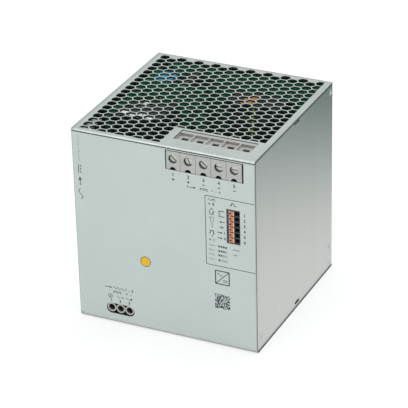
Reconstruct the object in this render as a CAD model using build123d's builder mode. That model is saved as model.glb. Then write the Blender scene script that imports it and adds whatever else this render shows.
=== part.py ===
from build123d import *
import math
import os

os.makedirs("parts", exist_ok=True)

# A switch-mode power supply for a 35 mm mounting rail. All sizes are in millimetres.
# +X runs to the right across the front, +Y runs from the front to the rail, +Z is up.
# The origin is under the middle of the whole part, at the level of its bottom face.

# ------------------------------------------------------------------ driving dimensions
width = 120.0
height = 130.0
housing_depth = 122.0
rail_reach = 6.5  # how far the rail adapter stands behind the housing

sheet = 1.2  # steel hood and front
side_sheet = 1.5  # aluminium sides
bend = 3.0  # outside radius of the housing's bends
seam = 0.35  # open line between two neighbouring sheets
foil = 0.2  # printed foil on the front
face = 0.4  # the foil lies this far behind the foremost terminals
play = 0.15  # clearance round a piece that slides

front_y = -(housing_depth + rail_reach) / 2
foil_back = face + foil
panel_back = foil_back + sheet

# Screw terminals of the output: five, along the top of the front.
output_count = 5
output_pitch = 9.9
output_first = 67.2  # from the left edge to the first screw
output_level = 8.1  # from the top edge down to the screws
output_travel = 3.15  # how far a clamping cage is drawn forward

# Screw terminals of the input: three, near the bottom of the front.
input_count = 3
input_pitch = 6.1
input_first = 22.1
input_level = 118.8
input_travel = 2.0

# Push-in signal connector: six ways, one above the other.
signal_count = 6
signal_pitch = 3.6
signal_left = 101.5
signal_right = 110.0
signal_top = 34.2
signal_bottom = 56.8
lever_travel = 1.5

# Push buttons and light guides.
button_from_left = 91.7
button_levels = {"up": 37.8, "down": 52.5}
button_travel = 0.5
button_gap = 0.22  # open line round a button
guide_columns = (90.5, 92.5)
guide_levels = (60.4, 63.5, 66.4, 69.7)
guide_size = (1.3, 0.9)

# Honeycomb vents in the top and the bottom.
vent_column = 5.96  # from one column of cells to the next
vent_pitch = 6.19  # from one cell to the next in a column
vent_web = 0.8
vent_first = 7.0  # from the left edge to the first column
vent_last = 7.4  # from the rear edge to the last cell
vent_margin = 4.2  # plain border left and right
vent_rear = 4.65  # plain border along the rear edge

# Mounting rail.
rail_height = 35.0
rail_centre = 65.0
foot_travel = 3.4

board = 1.6
board_depth = 14.0  # front face of the front board


# ------------------------------------------------------------------ places and small helpers
def across(from_left):
    """X of a point given from the left edge of the front."""
    return from_left - width / 2


def up(from_top):
    """Z of a point given from the top face down."""
    return height - from_top


def behind(depth):
    """Y of a point given from the foremost plane back."""
    return front_y + depth


def spans_x(left, right):
    return (across(left), across(right))


def spans_y(near, far):
    return (behind(near), behind(far))


def spans_z(upper, lower):
    return (up(lower), up(upper))


def block(x, y, z, mode=Mode.ADD):
    """A box that fills three (low, high) spans, in the part that is being made."""
    with Locations((sum(x) / 2, sum(y) / 2, sum(z) / 2)):
        Box(x[1] - x[0], y[1] - y[0], z[1] - z[0], mode=mode)


def rod_y(x, y, z, radius, mode=Mode.ADD):
    """A round bar along Y that fills the (low, high) span y."""
    with Locations(Location((x, sum(y) / 2, z), (90, 0, 0))):
        Cylinder(radius, y[1] - y[0], mode=mode)


def rod_x(x, y, z, radius, mode=Mode.ADD):
    """A round bar along X that fills the (low, high) span x."""
    with Locations(Location((sum(x) / 2, y, z), (0, 90, 0))):
        Cylinder(radius, x[1] - x[0], mode=mode)


def front_plane(depth):
    """The plane parallel to the front at this depth, X to the right and Z up, facing the viewer."""
    return Plane(origin=(0, behind(depth), 0), x_dir=(1, 0, 0), z_dir=(0, -1, 0))


def side_plane(x):
    """The plane across the part at x, with Y to the right and Z up, facing +X."""
    return Plane(origin=(x, 0, 0), x_dir=(0, 1, 0), z_dir=(1, 0, 0))


def save(part, name):
    part.label = name
    export_step(part, f"parts/{name}.step")
    print(f"{name}: {len(part.solids())} solid(s), {part.volume:.0f} mm3")


output_places = [across(output_first + output_pitch * i) for i in range(output_count)]
input_places = [across(input_first + input_pitch * i) for i in range(input_count)]
signal_middle = (signal_top + signal_bottom) / 2
signal_levels = [
    up(signal_middle + signal_pitch * (i - (signal_count - 1) / 2)) for i in range(signal_count)
]
output_z = up(output_level)
input_z = up(input_level)


# ------------------------------------------------------------------ vents
def cell_places(keep):
    """Centres of the honeycomb cells, in the plan view, that keep(from_left, depth) lets stand."""
    places = []
    columns = round((width - 2 * vent_first) / vent_column) + 1
    rows = round(housing_depth / vent_pitch) + 2
    for column in range(columns):
        from_left = vent_first + vent_column * column
        last = housing_depth - vent_last - (column % 2) * vent_pitch / 2
        for row in range(rows):
            depth = last - vent_pitch * row
            if keep(from_left, depth):
                places.append((across(from_left), behind(depth)))
    return places


def cell_outline():
    """One open cell: a hexagon with points to the left and right, a web smaller than its grid."""
    point = vent_column * 2 / 3 - vent_web / math.sqrt(3)
    flat = (vent_pitch - vent_web) / 2
    right = [(point / 2, -flat), (point, 0), (point / 2, flat)]
    left = [(-x, -z) for x, z in right]
    return right + left


def vent_cells(level, near, closed):
    """The cells as a flat sketch at z = level, from depth near to the rear, clear of a closed area."""
    closed_x, closed_y = closed
    far = housing_depth - vent_rear
    stray = 0.95  # a border may cut a cell off this far in front of its middle

    def keep(from_left, depth):
        inside = near - stray < depth < far + stray
        covered_x = closed_x[0] + stray < from_left < closed_x[1] - stray
        covered_y = closed_y[0] + stray < depth < closed_y[1] - stray
        return inside and not (covered_x and covered_y)

    with BuildSketch(Plane.XY.offset(level)) as cells:
        with Locations(*cell_places(keep)):
            Polygon(*cell_outline())
        with Locations((0, (behind(near) + behind(far)) / 2)):
            Rectangle(width - 2 * vent_margin, far - near, mode=Mode.INTERSECT)
        with Locations((across(sum(closed_x) / 2), behind(sum(closed_y) / 2))):
            Rectangle(closed_x[1] - closed_x[0], closed_y[1] - closed_y[0], mode=Mode.SUBTRACT)
    return cells.sketch


# ------------------------------------------------------------------ housing: top and bottom of the hood
flange = 9.0  # length of the hood's rear flanges
flat_end = housing_depth - bend - 1.0
hood_front = 0.2
lip = 1.8  # the rounded front edge of the top
bottom_front = 8.1  # the front's lower flange ends here
wire_window = ((62.8, 112.7), (10.8, 23.5))  # above the output terminals: from the left, depth
input_window = ((18.2, 38.4), (12.0, 22.6))  # below the input terminals
tab = (59.6, 66.4)  # locking tabs of the hood, in the notches of the sides
tab_drop = 1.9


def hood_sheet(face_z, inward, near, vent_near, closed, window):
    """The top (inward = -1) or the bottom (1) of the hood: a vented sheet with a flange at the rear."""
    with BuildPart() as hood:
        with BuildSketch(side_plane(0)):
            with BuildLine():
                outer = FilletPolyline(
                    (behind(flat_end), face_z),
                    (behind(housing_depth), face_z),
                    (behind(housing_depth), face_z + inward * flange),
                    radius=bend,
                )
                inner = FilletPolyline(
                    (behind(housing_depth - sheet), face_z + inward * flange),
                    (behind(housing_depth - sheet), face_z + inward * sheet),
                    (behind(flat_end), face_z + inward * sheet),
                    radius=bend - sheet,
                )
                Line(outer @ 1, inner @ 0)
                Line(inner @ 1, outer @ 0)
            make_face()
        extrude(amount=width / 2, both=True)
        # The flange stops short of the rounded rear corners, which follow the bends of the sides.
        below = sorted((face_z + inward * sheet, face_z + inward * height))
        for side in (-1, 1):
            corner = sorted((side * (width / 2 - bend - 0.2), side * (width / 2 + 1)))
            block(corner, spans_y(flat_end - 1, housing_depth + 1), below, mode=Mode.SUBTRACT)
        with BuildSketch(Plane.XY.offset(face_z)):
            for side in (-1, 1):
                with Locations((side * (width / 2 - bend / 2), behind(housing_depth - bend / 2))):
                    Rectangle(bend, bend)
            for side in (-1, 1):
                with Locations((side * (width / 2 - bend), behind(housing_depth - bend))):
                    Circle(bend, mode=Mode.SUBTRACT)
        extrude(amount=inward * bend, mode=Mode.SUBTRACT)
        if inward < 0:
            with BuildSketch(side_plane(0)):
                with BuildLine():
                    low = face_z - sheet
                    Polyline((behind(hood_front), face_z - 1.1), (behind(hood_front), low),
                             (behind(near), low), (behind(near), face_z),
                             (behind(hood_front + 1.1), face_z))
                    CenterArc((behind(hood_front + 1.1), face_z - 1.1), 1.1, 90, 90)
                make_face()
            extrude(amount=width / 2, both=True)
            for side in (-1, 1):
                edge = sorted((side * (width / 2 - side_sheet), side * (width / 2 - 0.6)))
                block(edge, spans_y(*tab), (face_z - sheet - tab_drop, face_z - sheet))
        with BuildSketch(Plane.XY.offset(face_z)):
            with Locations((0, (behind(near) + behind(flat_end)) / 2)):
                Rectangle(width, flat_end - near)
            with Locations((across(sum(window[0]) / 2), behind(sum(window[1]) / 2))):
                Rectangle(window[0][1] - window[0][0], window[1][1] - window[1][0], mode=Mode.SUBTRACT)
            add(vent_cells(face_z, vent_near, closed), mode=Mode.SUBTRACT, clean=False)
        extrude(amount=inward * sheet, clean=False)
    return hood.part


top_closed = ((57.5, width + 1), (0.0, 25.5))  # the solid corner above the output terminals
bottom_closed = ((14.0, 42.0), (9.0, 26.5))  # round the input window
save(hood_sheet(height, -1, hood_front + lip, 3.1, top_closed, wire_window), "hood_top")
save(hood_sheet(0, 1, bottom_front, 12.0, bottom_closed, input_window), "hood_bottom")

# ------------------------------------------------------------------ housing: front panel and foil
output_window_x = (62.3, 112.8)
output_window_z = (2.5, 15.4)
slot_x = (18.5, 37.7)
slot_z = (115.7, 123.0)


def arrow_outline(direction, grow):
    """A stubby arrow, tip up for direction 1 and down for -1, grown by this much all round."""
    half, tip, shoulder, tail = 1.25 + grow, 1.75 + grow * 1.3, 0.15, -1.55 - grow
    stem = 0.62 + grow
    points = [(-stem, tail), (stem, tail), (stem, shoulder - grow), (half, shoulder - grow), (0, tip)]
    points += [(-half, shoulder - grow), (-stem, shoulder - grow)]
    return [(x, direction * z) for x, z in points]


def front_windows(depth, ease):
    """Everything that is open in the front, as a flat sketch at this depth."""
    with BuildSketch(front_plane(depth)) as windows:
        for x, z in ((output_window_x, output_window_z),
                     ((signal_left - ease, signal_right + ease), (signal_top - ease, signal_bottom + ease))):
            with Locations((across(sum(x) / 2), up(sum(z) / 2))):
                Rectangle(x[1] - x[0], z[1] - z[0])
        with Locations((across(sum(slot_x) / 2), up(sum(slot_z) / 2))):
            SlotOverall(slot_x[1] - slot_x[0], slot_z[1] - slot_z[0])
        for name, direction in (("up", 1), ("down", -1)):
            with Locations((across(button_from_left), up(button_levels[name]))):
                Polygon(*arrow_outline(direction, button_gap), align=None)
        with Locations(*[(across(x), up(z)) for x in guide_columns for z in guide_levels]):
            Rectangle(guide_size[0] + 2 * ease, guide_size[1] + 2 * ease)
    return windows.sketch


with BuildPart() as front_panel:
    with BuildSketch(side_plane(0)) as profile:
        with BuildLine():
            outer = FilletPolyline(
                (behind(foil_back), height - sheet - seam),
                (behind(foil_back), 0),
                (behind(bottom_front - 0.1), 0),
                radius=bend,
            )
            inner = FilletPolyline(
                (behind(bottom_front - 0.1), sheet),
                (behind(panel_back), sheet),
                (behind(panel_back), height - sheet - seam),
                radius=bend - sheet,
            )
            Line(outer @ 1, inner @ 0)
            Line(inner @ 1, outer @ 0)
        make_face()
    extrude(amount=width / 2, both=True)
    extrude(front_windows(foil_back - 0.5, 0.12), amount=-(sheet + 1), mode=Mode.SUBTRACT)
save(front_panel.part, "front_panel")

foil_margin = 0.5
with BuildPart() as front_foil:
    with BuildSketch(front_plane(foil_back)):
        with Locations((0, (height + bend - sheet - seam) / 2)):
            RectangleRounded(
                width - 2 * foil_margin, height - bend - sheet - seam - 2 * foil_margin, 0.6)
    extrude(amount=foil)
    extrude(front_windows(foil_back + 0.5, 0.12), amount=1.5, mode=Mode.SUBTRACT)
save(front_foil.part, "front_foil")

# ------------------------------------------------------------------ housing: sides and rear wall
side_front = panel_back + 0.1
side_face = width / 2 - 0.1  # the sides lie a hair inside the hood's edge
side_flange = 16.0
side_bottom = sheet + seam
side_top = height - sheet - seam
dimples = ((5.8, 5.4), (7.3, 113.0), (7.5, 125.0), (114.6, 120.5))  # from the rear edge, from the top
dimple_radius, dimple_depth = 2.2, 0.75
dimple_ball = (dimple_radius**2 + dimple_depth**2) / (2 * dimple_depth)  # radius of the round hollow
holes_side = (60.0, 90.0)  # threaded holes for a rail adapter on the left side: spacing along Y and Z
holes_middle = (58.0, 65.0)  # depth and height of their middle
m4_core = 1.65
housing_screw_x = 52.0
housing_screw_z = (15.5, height - 15.5)


def side_panel(sign):
    """One side: a flat sheet with a bent flange at the rear. sign is 1 on the right, -1 on the left."""
    with BuildPart() as panel:
        with BuildSketch(Plane.XY.offset(side_bottom)) as plan:
            with BuildLine():
                outer = FilletPolyline(
                    (sign * side_face, behind(side_front)),
                    (sign * side_face, behind(housing_depth)),
                    (sign * (side_face - side_flange), behind(housing_depth)),
                    radius=bend,
                )
                inner = FilletPolyline(
                    (sign * (side_face - side_flange), behind(housing_depth - side_sheet)),
                    (sign * (side_face - side_sheet), behind(housing_depth - side_sheet)),
                    (sign * (side_face - side_sheet), behind(side_front)),
                    radius=bend - side_sheet,
                )
                Line(outer @ 1, inner @ 0)
                Line(inner @ 1, outer @ 0)
            make_face()
        extrude(amount=side_top - side_bottom)
        fillet(panel.edges().filter_by(Axis.X).group_by(Axis.Z)[0].sort_by(Axis.Y)[0], 1.6)
        rear_x = sorted((0, sign * (side_face - bend - 0.1)))
        rear_y = spans_y(housing_depth - side_sheet - 0.2, housing_depth + 1)
        block(rear_x, rear_y, (0, flange + 1.5), mode=Mode.SUBTRACT)
        block(rear_x, rear_y, (height - flange - 1.5, height), mode=Mode.SUBTRACT)
        skin = sorted((sign * (side_face - side_sheet - 1), sign * (side_face + 1)))
        notch = spans_y(tab[0] - 0.4, tab[1] + 0.4)
        block(skin, notch, (height - sheet - tab_drop, height), mode=Mode.SUBTRACT)
        block(skin, spans_y(59.2, 65.4), (3.0, 4.9), mode=Mode.SUBTRACT)
        for from_rear, from_top in dimples:
            middle_x = sign * (side_face - dimple_depth + dimple_ball)
            middle = (middle_x, behind(housing_depth - from_rear), up(from_top))
            with Locations(Location(middle, (0, 0, 90 - 90 * sign))):  # the ball's seam points outwards
                Sphere(dimple_ball, mode=Mode.SUBTRACT)
        for z in housing_screw_z:
            rod_y(sign * housing_screw_x, spans_y(118, 124), z, 1.6, mode=Mode.SUBTRACT)
        if sign < 0:
            for along in (-1, 1):
                for level in (-1, 1):
                    y = behind(holes_middle[0] + along * holes_side[0] / 2)
                    z = holes_middle[1] + level * holes_side[1] / 2
                    rod_x((-side_face - 1, -side_face + 3), y, z, m4_core, mode=Mode.SUBTRACT)
    return panel.part


save(side_panel(1), "side_right")
save(side_panel(-1), "side_left")

wall_back = housing_depth - side_sheet
wall_front = wall_back - sheet
adapter_screw_x = 11.0
adapter_screw_z = (17.5, 112.5)
wall_x = side_face - bend  # clear of the sides' bends, as its ends are of the hood's
with BuildPart() as rear_wall:
    block((-wall_x, wall_x), spans_y(wall_front, wall_back), (bend + 0.2, height - bend - 0.2))
    for x in (-housing_screw_x, housing_screw_x):
        for z in housing_screw_z:
            rod_y(x, spans_y(wall_front - 1, wall_back + 1), z, 1.6, mode=Mode.SUBTRACT)
    for x in (-adapter_screw_x, adapter_screw_x):
        for z in adapter_screw_z:
            rod_y(x, spans_y(wall_front - 1, wall_back + 1), z, 2.05, mode=Mode.SUBTRACT)
save(rear_wall.part, "rear_wall")


def star_recess(x, y_face, z, radius, depth):
    """A six-point drive in a screw head that faces +Y at y_face."""
    with Locations(Location((x, y_face - depth / 2, z), (90, 0, 0))):
        Cylinder(radius * 0.72, depth, mode=Mode.SUBTRACT)
    for turn in range(3):
        with Locations(Location((x, y_face - depth / 2, z), (0, turn * 60, 0))):
            Box(radius * 2, depth, radius * 0.5, mode=Mode.SUBTRACT)


with BuildPart() as housing_screws:
    head = spans_y(housing_depth, housing_depth + 1.6)
    for x in (-housing_screw_x, housing_screw_x):
        for z in housing_screw_z:
            rod_y(x, head, z, 2.75)
            rod_y(x, spans_y(wall_front - 1.5, housing_depth), z, 1.5)
    chamfer(housing_screws.faces().sort_by(Axis.Y)[-4:].edges(), 0.35)
    for x in (-housing_screw_x, housing_screw_x):
        for z in housing_screw_z:
            star_recess(x, behind(housing_depth + 1.6), z, 1.3, 1.1)
save(housing_screws.part, "housing_screws")

# ------------------------------------------------------------------ rail adapter
plate_x = 16.0
plate_back = housing_depth + 2.2
rest_back = housing_depth + 3.0  # the rail's lips rest here
nose_front = rest_back + 1.25
adapter_back = housing_depth + rail_reach
lip_top = rail_centre + rail_height / 2
lip_bottom = rail_centre - rail_height / 2
guide_in = 10.15
step_z = lip_bottom - 5.5  # the foot's step above its guides
guide_z = (24.0, step_z - foot_travel - 0.2)
post_z = (20.2, 22.2)
spring_length = 16.0

with BuildPart() as rail_adapter_plate:
    block((-plate_x, plate_x), spans_y(wall_back, plate_back), (11.5, 118.5))
    fillet(rail_adapter_plate.edges().filter_by(Axis.Y), 3.0)
    # Two pads that the upper lip rests on, and the hooks over it.
    for side in (-1, 1):
        pad = sorted((side * 5.5, side * plate_x))
        block(pad, spans_y(plate_back, rest_back), (lip_top - 9, lip_top + 0.2))
        block(pad, spans_y(plate_back, adapter_back), (lip_top + 0.2, lip_top + 4.2))
        block(pad, spans_y(nose_front, adapter_back), (lip_top - 2.3, lip_top + 0.2))
        low_pad = sorted((side * (guide_in + 0.35), side * plate_x))
        block(low_pad, spans_y(plate_back, rest_back), (lip_bottom + 0.5, lip_bottom + 9))
        # The guides that the foot slides in.
        guide = sorted((side * guide_in, side * (guide_in + 2.6)))
        block(guide, spans_y(plate_back, housing_depth + 5.6), guide_z)
        lip = sorted((side * (guide_in - 1.9), side * (guide_in + 2.6)))
        block(lip, spans_y(housing_depth + 5.5, adapter_back), guide_z)
    block((-1.9, 1.9), spans_y(plate_back, housing_depth + 5.3), post_z)
    for x in (-adapter_screw_x, adapter_screw_x):
        for z in adapter_screw_z:
            rod_y(x, spans_y(wall_back - 1, plate_back + 1), z, 2.05, mode=Mode.SUBTRACT)
save(rail_adapter_plate.part, "rail_adapter_plate")

foot_face = plate_back + 0.1
foot_back = housing_depth + 5.3
foot_x = guide_in - play
foot_shoulder = 24.6  # clear of the screws below it when the foot is pulled down
with BuildPart() as rail_foot:
    block((-foot_x, foot_x), spans_y(foot_face, foot_back), (foot_shoulder, lip_bottom - 0.2))
    block((-5.5, 5.5), spans_y(foot_face, foot_back), (9.5, foot_shoulder))
    block((-foot_x, foot_x), spans_y(foot_back, adapter_back - 0.05), (step_z, lip_bottom - 0.2))
    block((-foot_x, foot_x), spans_y(nose_front, adapter_back - 0.05), (lip_bottom - 0.2, lip_bottom + 2.3))
    # The nose is ramped so that the rail's lip pushes the foot aside when the unit is swung on.
    ramp = rail_foot.edges().filter_by(Axis.X).group_by(Axis.Z)[-1].sort_by(Axis.Y)[-1]
    chamfer(ramp, 1.6)
    # Window for the spring and slot for a screwdriver.
    block((-2.15, 2.15), spans_y(foot_face - 1, foot_back + 1), (post_z[0] - 0.2, post_z[1] + spring_length),
          mode=Mode.SUBTRACT)
    block((-2.6, 2.6), spans_y(foot_face - 1, foot_back + 1), (12.0, 13.8), mode=Mode.SUBTRACT)
    fillet(rail_foot.edges().filter_by(Axis.Y).group_by(Axis.Z)[0], 1.2)
save(rail_foot.part, "rail_foot")

wire = 0.5
coil_radius = 1.2
turns = 9
with BuildPart() as foot_spring:
    centre = (0, behind(housing_depth + 3.9))
    with BuildLine(Plane(origin=(centre[0], centre[1], post_z[1] + wire / 2))) as coil:
        Helix(pitch=(spring_length - wire) / turns, height=spring_length - wire, radius=coil_radius)
    with BuildSketch(Plane(origin=coil.line @ 0, z_dir=coil.line % 0)):
        Circle(wire / 2)
    sweep(path=coil.line, is_frenet=True)
save(foot_spring.part, "foot_spring")

with BuildPart() as adapter_screws:
    for x in (-adapter_screw_x, adapter_screw_x):
        for z in adapter_screw_z:
            rod_y(x, spans_y(plate_back, plate_back + 2.2), z, 3.4)
            rod_y(x, spans_y(wall_front - 0.6, plate_back), z, 2.0)
    chamfer(adapter_screws.faces().sort_by(Axis.Y)[-4:].edges(), 0.5)
    for x in (-adapter_screw_x, adapter_screw_x):
        for z in adapter_screw_z:
            star_recess(x, behind(plate_back + 2.2), z, 1.75, 1.5)
save(adapter_screws.part, "adapter_screws")

# ------------------------------------------------------------------ output terminals
block_x = (62.5, 112.5)
block_depth = (3.4, 24.0)  # stands back from the panel, so a gap shows all round the window
block_z = (1.3, 18.5)
boss_x = (63.05, 111.7)
boss_z = (3.05, 15.0)
boss_front = 0.3
pocket_x = (-3.95, 5.15)  # a wire funnel, from its screw to the left and to the right
pocket = (11.0, 20.5)  # depth of the wire funnels
pocket_floor = 2.1
wire_hole = (13.4, 17.5)
wire_hole_x = (-1.25, 3.05)
cage_x = 4.0
cage_wall = 0.9
cage_front = (7.2, 8.7)
cage_rear = (19.6, 20.9)
cage_z = (5.1, 13.1)
chamber = (cage_front[0] - output_travel - 0.2, cage_rear[1] + 0.2)
tongue = (11.9, 13.1)
head = (1.8, 3.7)
output_head = 2.65
output_shank = 2.0
output_slot_turns = (42, 64, 38, 2, 0)  # each screw stands where it was last turned to
slot_width = 0.9
slot_depth = 1.1

with BuildPart() as output_terminal_body:
    block(spans_x(*block_x), spans_y(*block_depth), spans_z(*block_z))
    block(spans_x(*boss_x), spans_y(boss_front, block_depth[0]), spans_z(*boss_z))
    block(spans_x(63.1, 112.4), spans_y(11.0 - 0.1, 23.3), spans_z(0.45, block_z[0]))
    for x in output_places:
        funnel = (x + pocket_x[0], x + pocket_x[1])
        block(funnel, spans_y(*pocket), spans_z(0, pocket_floor), mode=Mode.SUBTRACT)
        neck = (x + wire_hole_x[0], x + wire_hole_x[1])
        block(neck, spans_y(*wire_hole), spans_z(pocket_floor - 1, 6), mode=Mode.SUBTRACT)
        half = cage_x + play
        block((x - half, x + half), spans_y(*chamber), spans_z(cage_z[0] - 0.2, cage_z[1] + 0.4),
              mode=Mode.SUBTRACT)
        block((x - 3.0, x + 3.0), spans_y(tongue[0] - 0.1, tongue[1] + 0.1), spans_z(13, 19),
              mode=Mode.SUBTRACT)
        rod_y(x, spans_y(boss_front - 1, chamber[0] + 0.1), output_z, output_head + 0.2, mode=Mode.SUBTRACT)
        # Test socket, half hidden by the lower edge of the window.
        rod_y(x, spans_y(boss_front - 1, 6.0), up(boss_z[1] + 0.35), 2.15, mode=Mode.SUBTRACT)
    # Fine grooves between the five cells.
    for x in output_places[1:]:
        groove = x - output_pitch / 2
        block((groove - 0.12, groove + 0.12), spans_y(boss_front - 1, boss_front + 0.35), spans_z(2, 16),
              mode=Mode.SUBTRACT)
save(output_terminal_body.part, "output_terminal_body")


def clamp_screw(x, z, head_depth, head_radius, shank_radius, tip, slot_turn):
    """A clamping screw along Y. Seen from the front, its slot is turned clockwise from level."""
    with BuildPart() as screw:
        rod_y(x, spans_y(*head_depth), z, head_radius)
        rod_y(x, spans_y(head_depth[1], tip), z, shank_radius)
        chamfer(screw.faces().sort_by(Axis.Y)[0].edges(), 0.25)
        chamfer(screw.faces().sort_by(Axis.Y)[-1].edges(), 0.4)
        with Locations(Location((x, behind(head_depth[0]), z), (0, slot_turn, 0))):
            Box(head_radius * 1.8, 2 * slot_depth, slot_width, mode=Mode.SUBTRACT)
    return screw.part


def clamp_cage(x, spans, front_wall, rear_wall_span, wall, screw_z, hole):
    """A cage that is open upwards and downwards, with a threaded hole for the screw in its front."""
    half, z = spans
    with BuildPart() as cage:
        block((x - half, x + half), spans_y(front_wall[0], rear_wall_span[1]), z)
        fillet(cage.edges().filter_by(Axis.Z), 0.5)
        block((x - half + wall, x + half - wall), spans_y(front_wall[1], rear_wall_span[0]),
              (z[0] - 1, z[1] + 1), mode=Mode.SUBTRACT)
        rod_y(x, spans_y(front_wall[0] - 1, front_wall[1] + 0.5), screw_z, hole, mode=Mode.SUBTRACT)
        # Three ribs on the rear wall grip the wire.
        step = (z[1] - z[0]) / 4
        for k in (1, 2, 3):
            with Locations(Location((x, behind(rear_wall_span[0]), z[0] + step * k), (0, 90, 0))):
                Cylinder(0.22, 2 * (half - wall))
    return cage.part


for number, x in enumerate(output_places, 1):
    slot_turn = output_slot_turns[number - 1]
    save(clamp_screw(x, output_z, head, output_head, output_shank, tongue[0] - 0.1, slot_turn),
         f"output_screw_{number}")
    save(clamp_cage(x, (cage_x, spans_z(*cage_z)), cage_front, cage_rear, cage_wall, output_z,
                    output_shank + 0.05), f"output_cage_{number}")

# ------------------------------------------------------------------ input terminals
collar = 3.0
collar_bore = 2.2
in_block_x = (18.9, 37.5)
in_block_depth = (5.9, 22.4)  # only the collars reach forward to the front
in_block_z = (1.35, 17.6)  # from the bottom up
in_cage_x = 2.75
in_cage_wall = 0.6
in_cage_front = (10.4, 11.6)
in_cage_rear = (19.4, 20.5)
in_cage_z = (5.6, 13.6)
in_chamber = (in_cage_front[0] - input_travel - 0.15, in_cage_rear[1] + 0.2)
in_tongue = (14.0, 15.0)
in_head = (6.0, 8.0)
in_head_radius = 1.95
in_shank = 1.5
input_slot_turns = (18, 150, 65)

with BuildPart() as input_terminal_body:
    block(spans_x(*in_block_x), spans_y(*in_block_depth), in_block_z)
    for x in input_places:
        rod_y(x, spans_y(face, in_block_depth[0]), input_z, collar)
    for x in input_places:
        rod_y(x, spans_y(face - 1, in_chamber[0] + 0.1), input_z, collar_bore, mode=Mode.SUBTRACT)
        half = in_cage_x + 0.1
        block((x - half, x + half), spans_y(*in_chamber), (in_cage_z[0] - 0.2, in_cage_z[1] + 0.2),
              mode=Mode.SUBTRACT)
        half = 2.15
        block((x - half, x + half), spans_y(15.1, 19.35), (0, in_cage_z[0]), mode=Mode.SUBTRACT)
        block((x - 2.0, x + 2.0), spans_y(in_tongue[0] - 0.05, in_tongue[1] + 0.05), (13, 19),
              mode=Mode.SUBTRACT)
save(input_terminal_body.part, "input_terminal_body")

for number, x in enumerate(input_places, 1):
    slot_turn = input_slot_turns[number - 1]
    save(clamp_screw(x, input_z, in_head, in_head_radius, in_shank, in_tongue[0] - 0.1, slot_turn),
         f"input_screw_{number}")
    save(clamp_cage(x, (in_cage_x, in_cage_z), in_cage_front, in_cage_rear, in_cage_wall, input_z,
                    in_shank + 0.05), f"input_cage_{number}")

# ------------------------------------------------------------------ busbars behind the terminals
output_board_depth = 27.0
input_board_x = 6.6  # from the left edge to the input board
with BuildPart() as terminal_busbars:
    for group in (output_places[:2], output_places[2:]):
        for x in group:
            block((x - 2.9, x + 2.9), spans_y(*tongue), spans_z(6.0, 19.0))
        bar = (group[0] - 2.9, group[-1] + 2.9)
        block(bar, spans_y(*tongue), spans_z(19.0, 24.0))
        block(bar, spans_y(tongue[1], output_board_depth), spans_z(22.8, 24.0))
    for number, x in enumerate(input_places):
        level = 19.5 + 4.0 * number
        block((x - 1.9, x + 1.9), spans_y(*in_tongue), (7.5, level + 2.2))
        block((across(input_board_x + board), x - 1.9), spans_y(*in_tongue), (level, level + 2.2))
save(terminal_busbars.part, "terminal_busbars")

# ------------------------------------------------------------------ signal connector
entry_x = (106.65, 109.75)
lever_x = (102.75, 106.25)
lever_height = 3.0
lever_depth = (0.0, 7.0)
lever_recess = (103.25, 104.2)  # a screwdriver presses here
entry_bottom = lever_depth[1] + lever_travel + 0.5
with BuildPart() as signal_connector_body:
    block(spans_x(signal_left, signal_right), spans_y(0.25, board_depth), spans_z(signal_top, signal_bottom))
    fillet(signal_connector_body.edges().filter_by(Axis.Y), 0.4)
    for z in signal_levels:
        half = lever_height / 2 + 0.1
        block(spans_x(lever_x[0] - 0.1, lever_x[1] + 0.1), spans_y(-1, entry_bottom), (z - half, z + half),
              mode=Mode.SUBTRACT)
        block(spans_x(*entry_x), spans_y(-1, board_depth + 1), (z - 1.45, z + 1.45), mode=Mode.SUBTRACT)
    sills = signal_connector_body.edges().filter_by(Axis.X).group_by(Axis.Y)[0]
    chamfer(sills.filter_by_position(Axis.X, *spans_x(*entry_x)), 0.25)
save(signal_connector_body.part, "signal_connector_body")

for number, z in enumerate(signal_levels, 1):
    with BuildPart() as release_lever:
        block(spans_x(*lever_x), spans_y(*lever_depth), (z - lever_height / 2, z + lever_height / 2))
        rim = release_lever.faces().sort_by(Axis.Y)[0].edges()
        chamfer(rim.sort_by(Axis.X)[0], 0.5)
        chamfer(release_lever.faces().sort_by(Axis.Y)[0].edges().sort_by(Axis.X)[1:], 0.2)
        block(spans_x(*lever_recess), spans_y(-1, 1.4), (z - 0.55, z + 0.55), mode=Mode.SUBTRACT)
    save(release_lever.part, f"release_lever_{number}")

with BuildPart() as signal_contacts:
    for z in signal_levels:
        block(spans_x(107.1, 109.3), spans_y(entry_bottom, board_depth), (z - 1.0, z + 1.0))
save(signal_contacts.part, "signal_contacts")

# ------------------------------------------------------------------ buttons and light guides
stem_end = 11.4
for name, direction in (("up", 1), ("down", -1)):
    with BuildPart() as button:
        with BuildSketch(front_plane(panel_back + 0.1)):
            with Locations((across(button_from_left), up(button_levels[name]))):
                Polygon(*arrow_outline(direction, 0), align=None)
        extrude(amount=panel_back - 0.05)
        with BuildSketch(front_plane(panel_back + 0.1)):
            with Locations((across(button_from_left), up(button_levels[name]))):
                RectangleRounded(4.2, 4.8, 0.6)
        extrude(amount=-0.8)
        rod_y(across(button_from_left), spans_y(panel_back + 0.9, stem_end), up(button_levels[name]), 0.9)
    save(button.part, f"voltage_button_{name}")

with BuildPart() as led_light_guides:
    for x in guide_columns:
        for level in guide_levels:
            half_x, half_z = guide_size[0] / 2, guide_size[1] / 2
            block((across(x) - half_x, across(x) + half_x), spans_y(face + 0.05, 13.0),
                  (up(level) - half_z, up(level) + half_z))
    block(spans_x(guide_columns[0] - 1.4, guide_columns[1] + 1.4), spans_y(5.0, 6.4),
          spans_z(guide_levels[0] - 1.2, guide_levels[-1] + 1.2))
save(led_light_guides.part, "led_light_guides")

# ------------------------------------------------------------------ boards and what carries them
board_top = 3.5
output_board_x = (59.0, 116.0)
with BuildPart() as front_board:
    block(spans_x(84.0, 114.5), spans_y(board_depth, board_depth + board), spans_z(26.0, 76.0))
save(front_board.part, "front_board")

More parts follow.
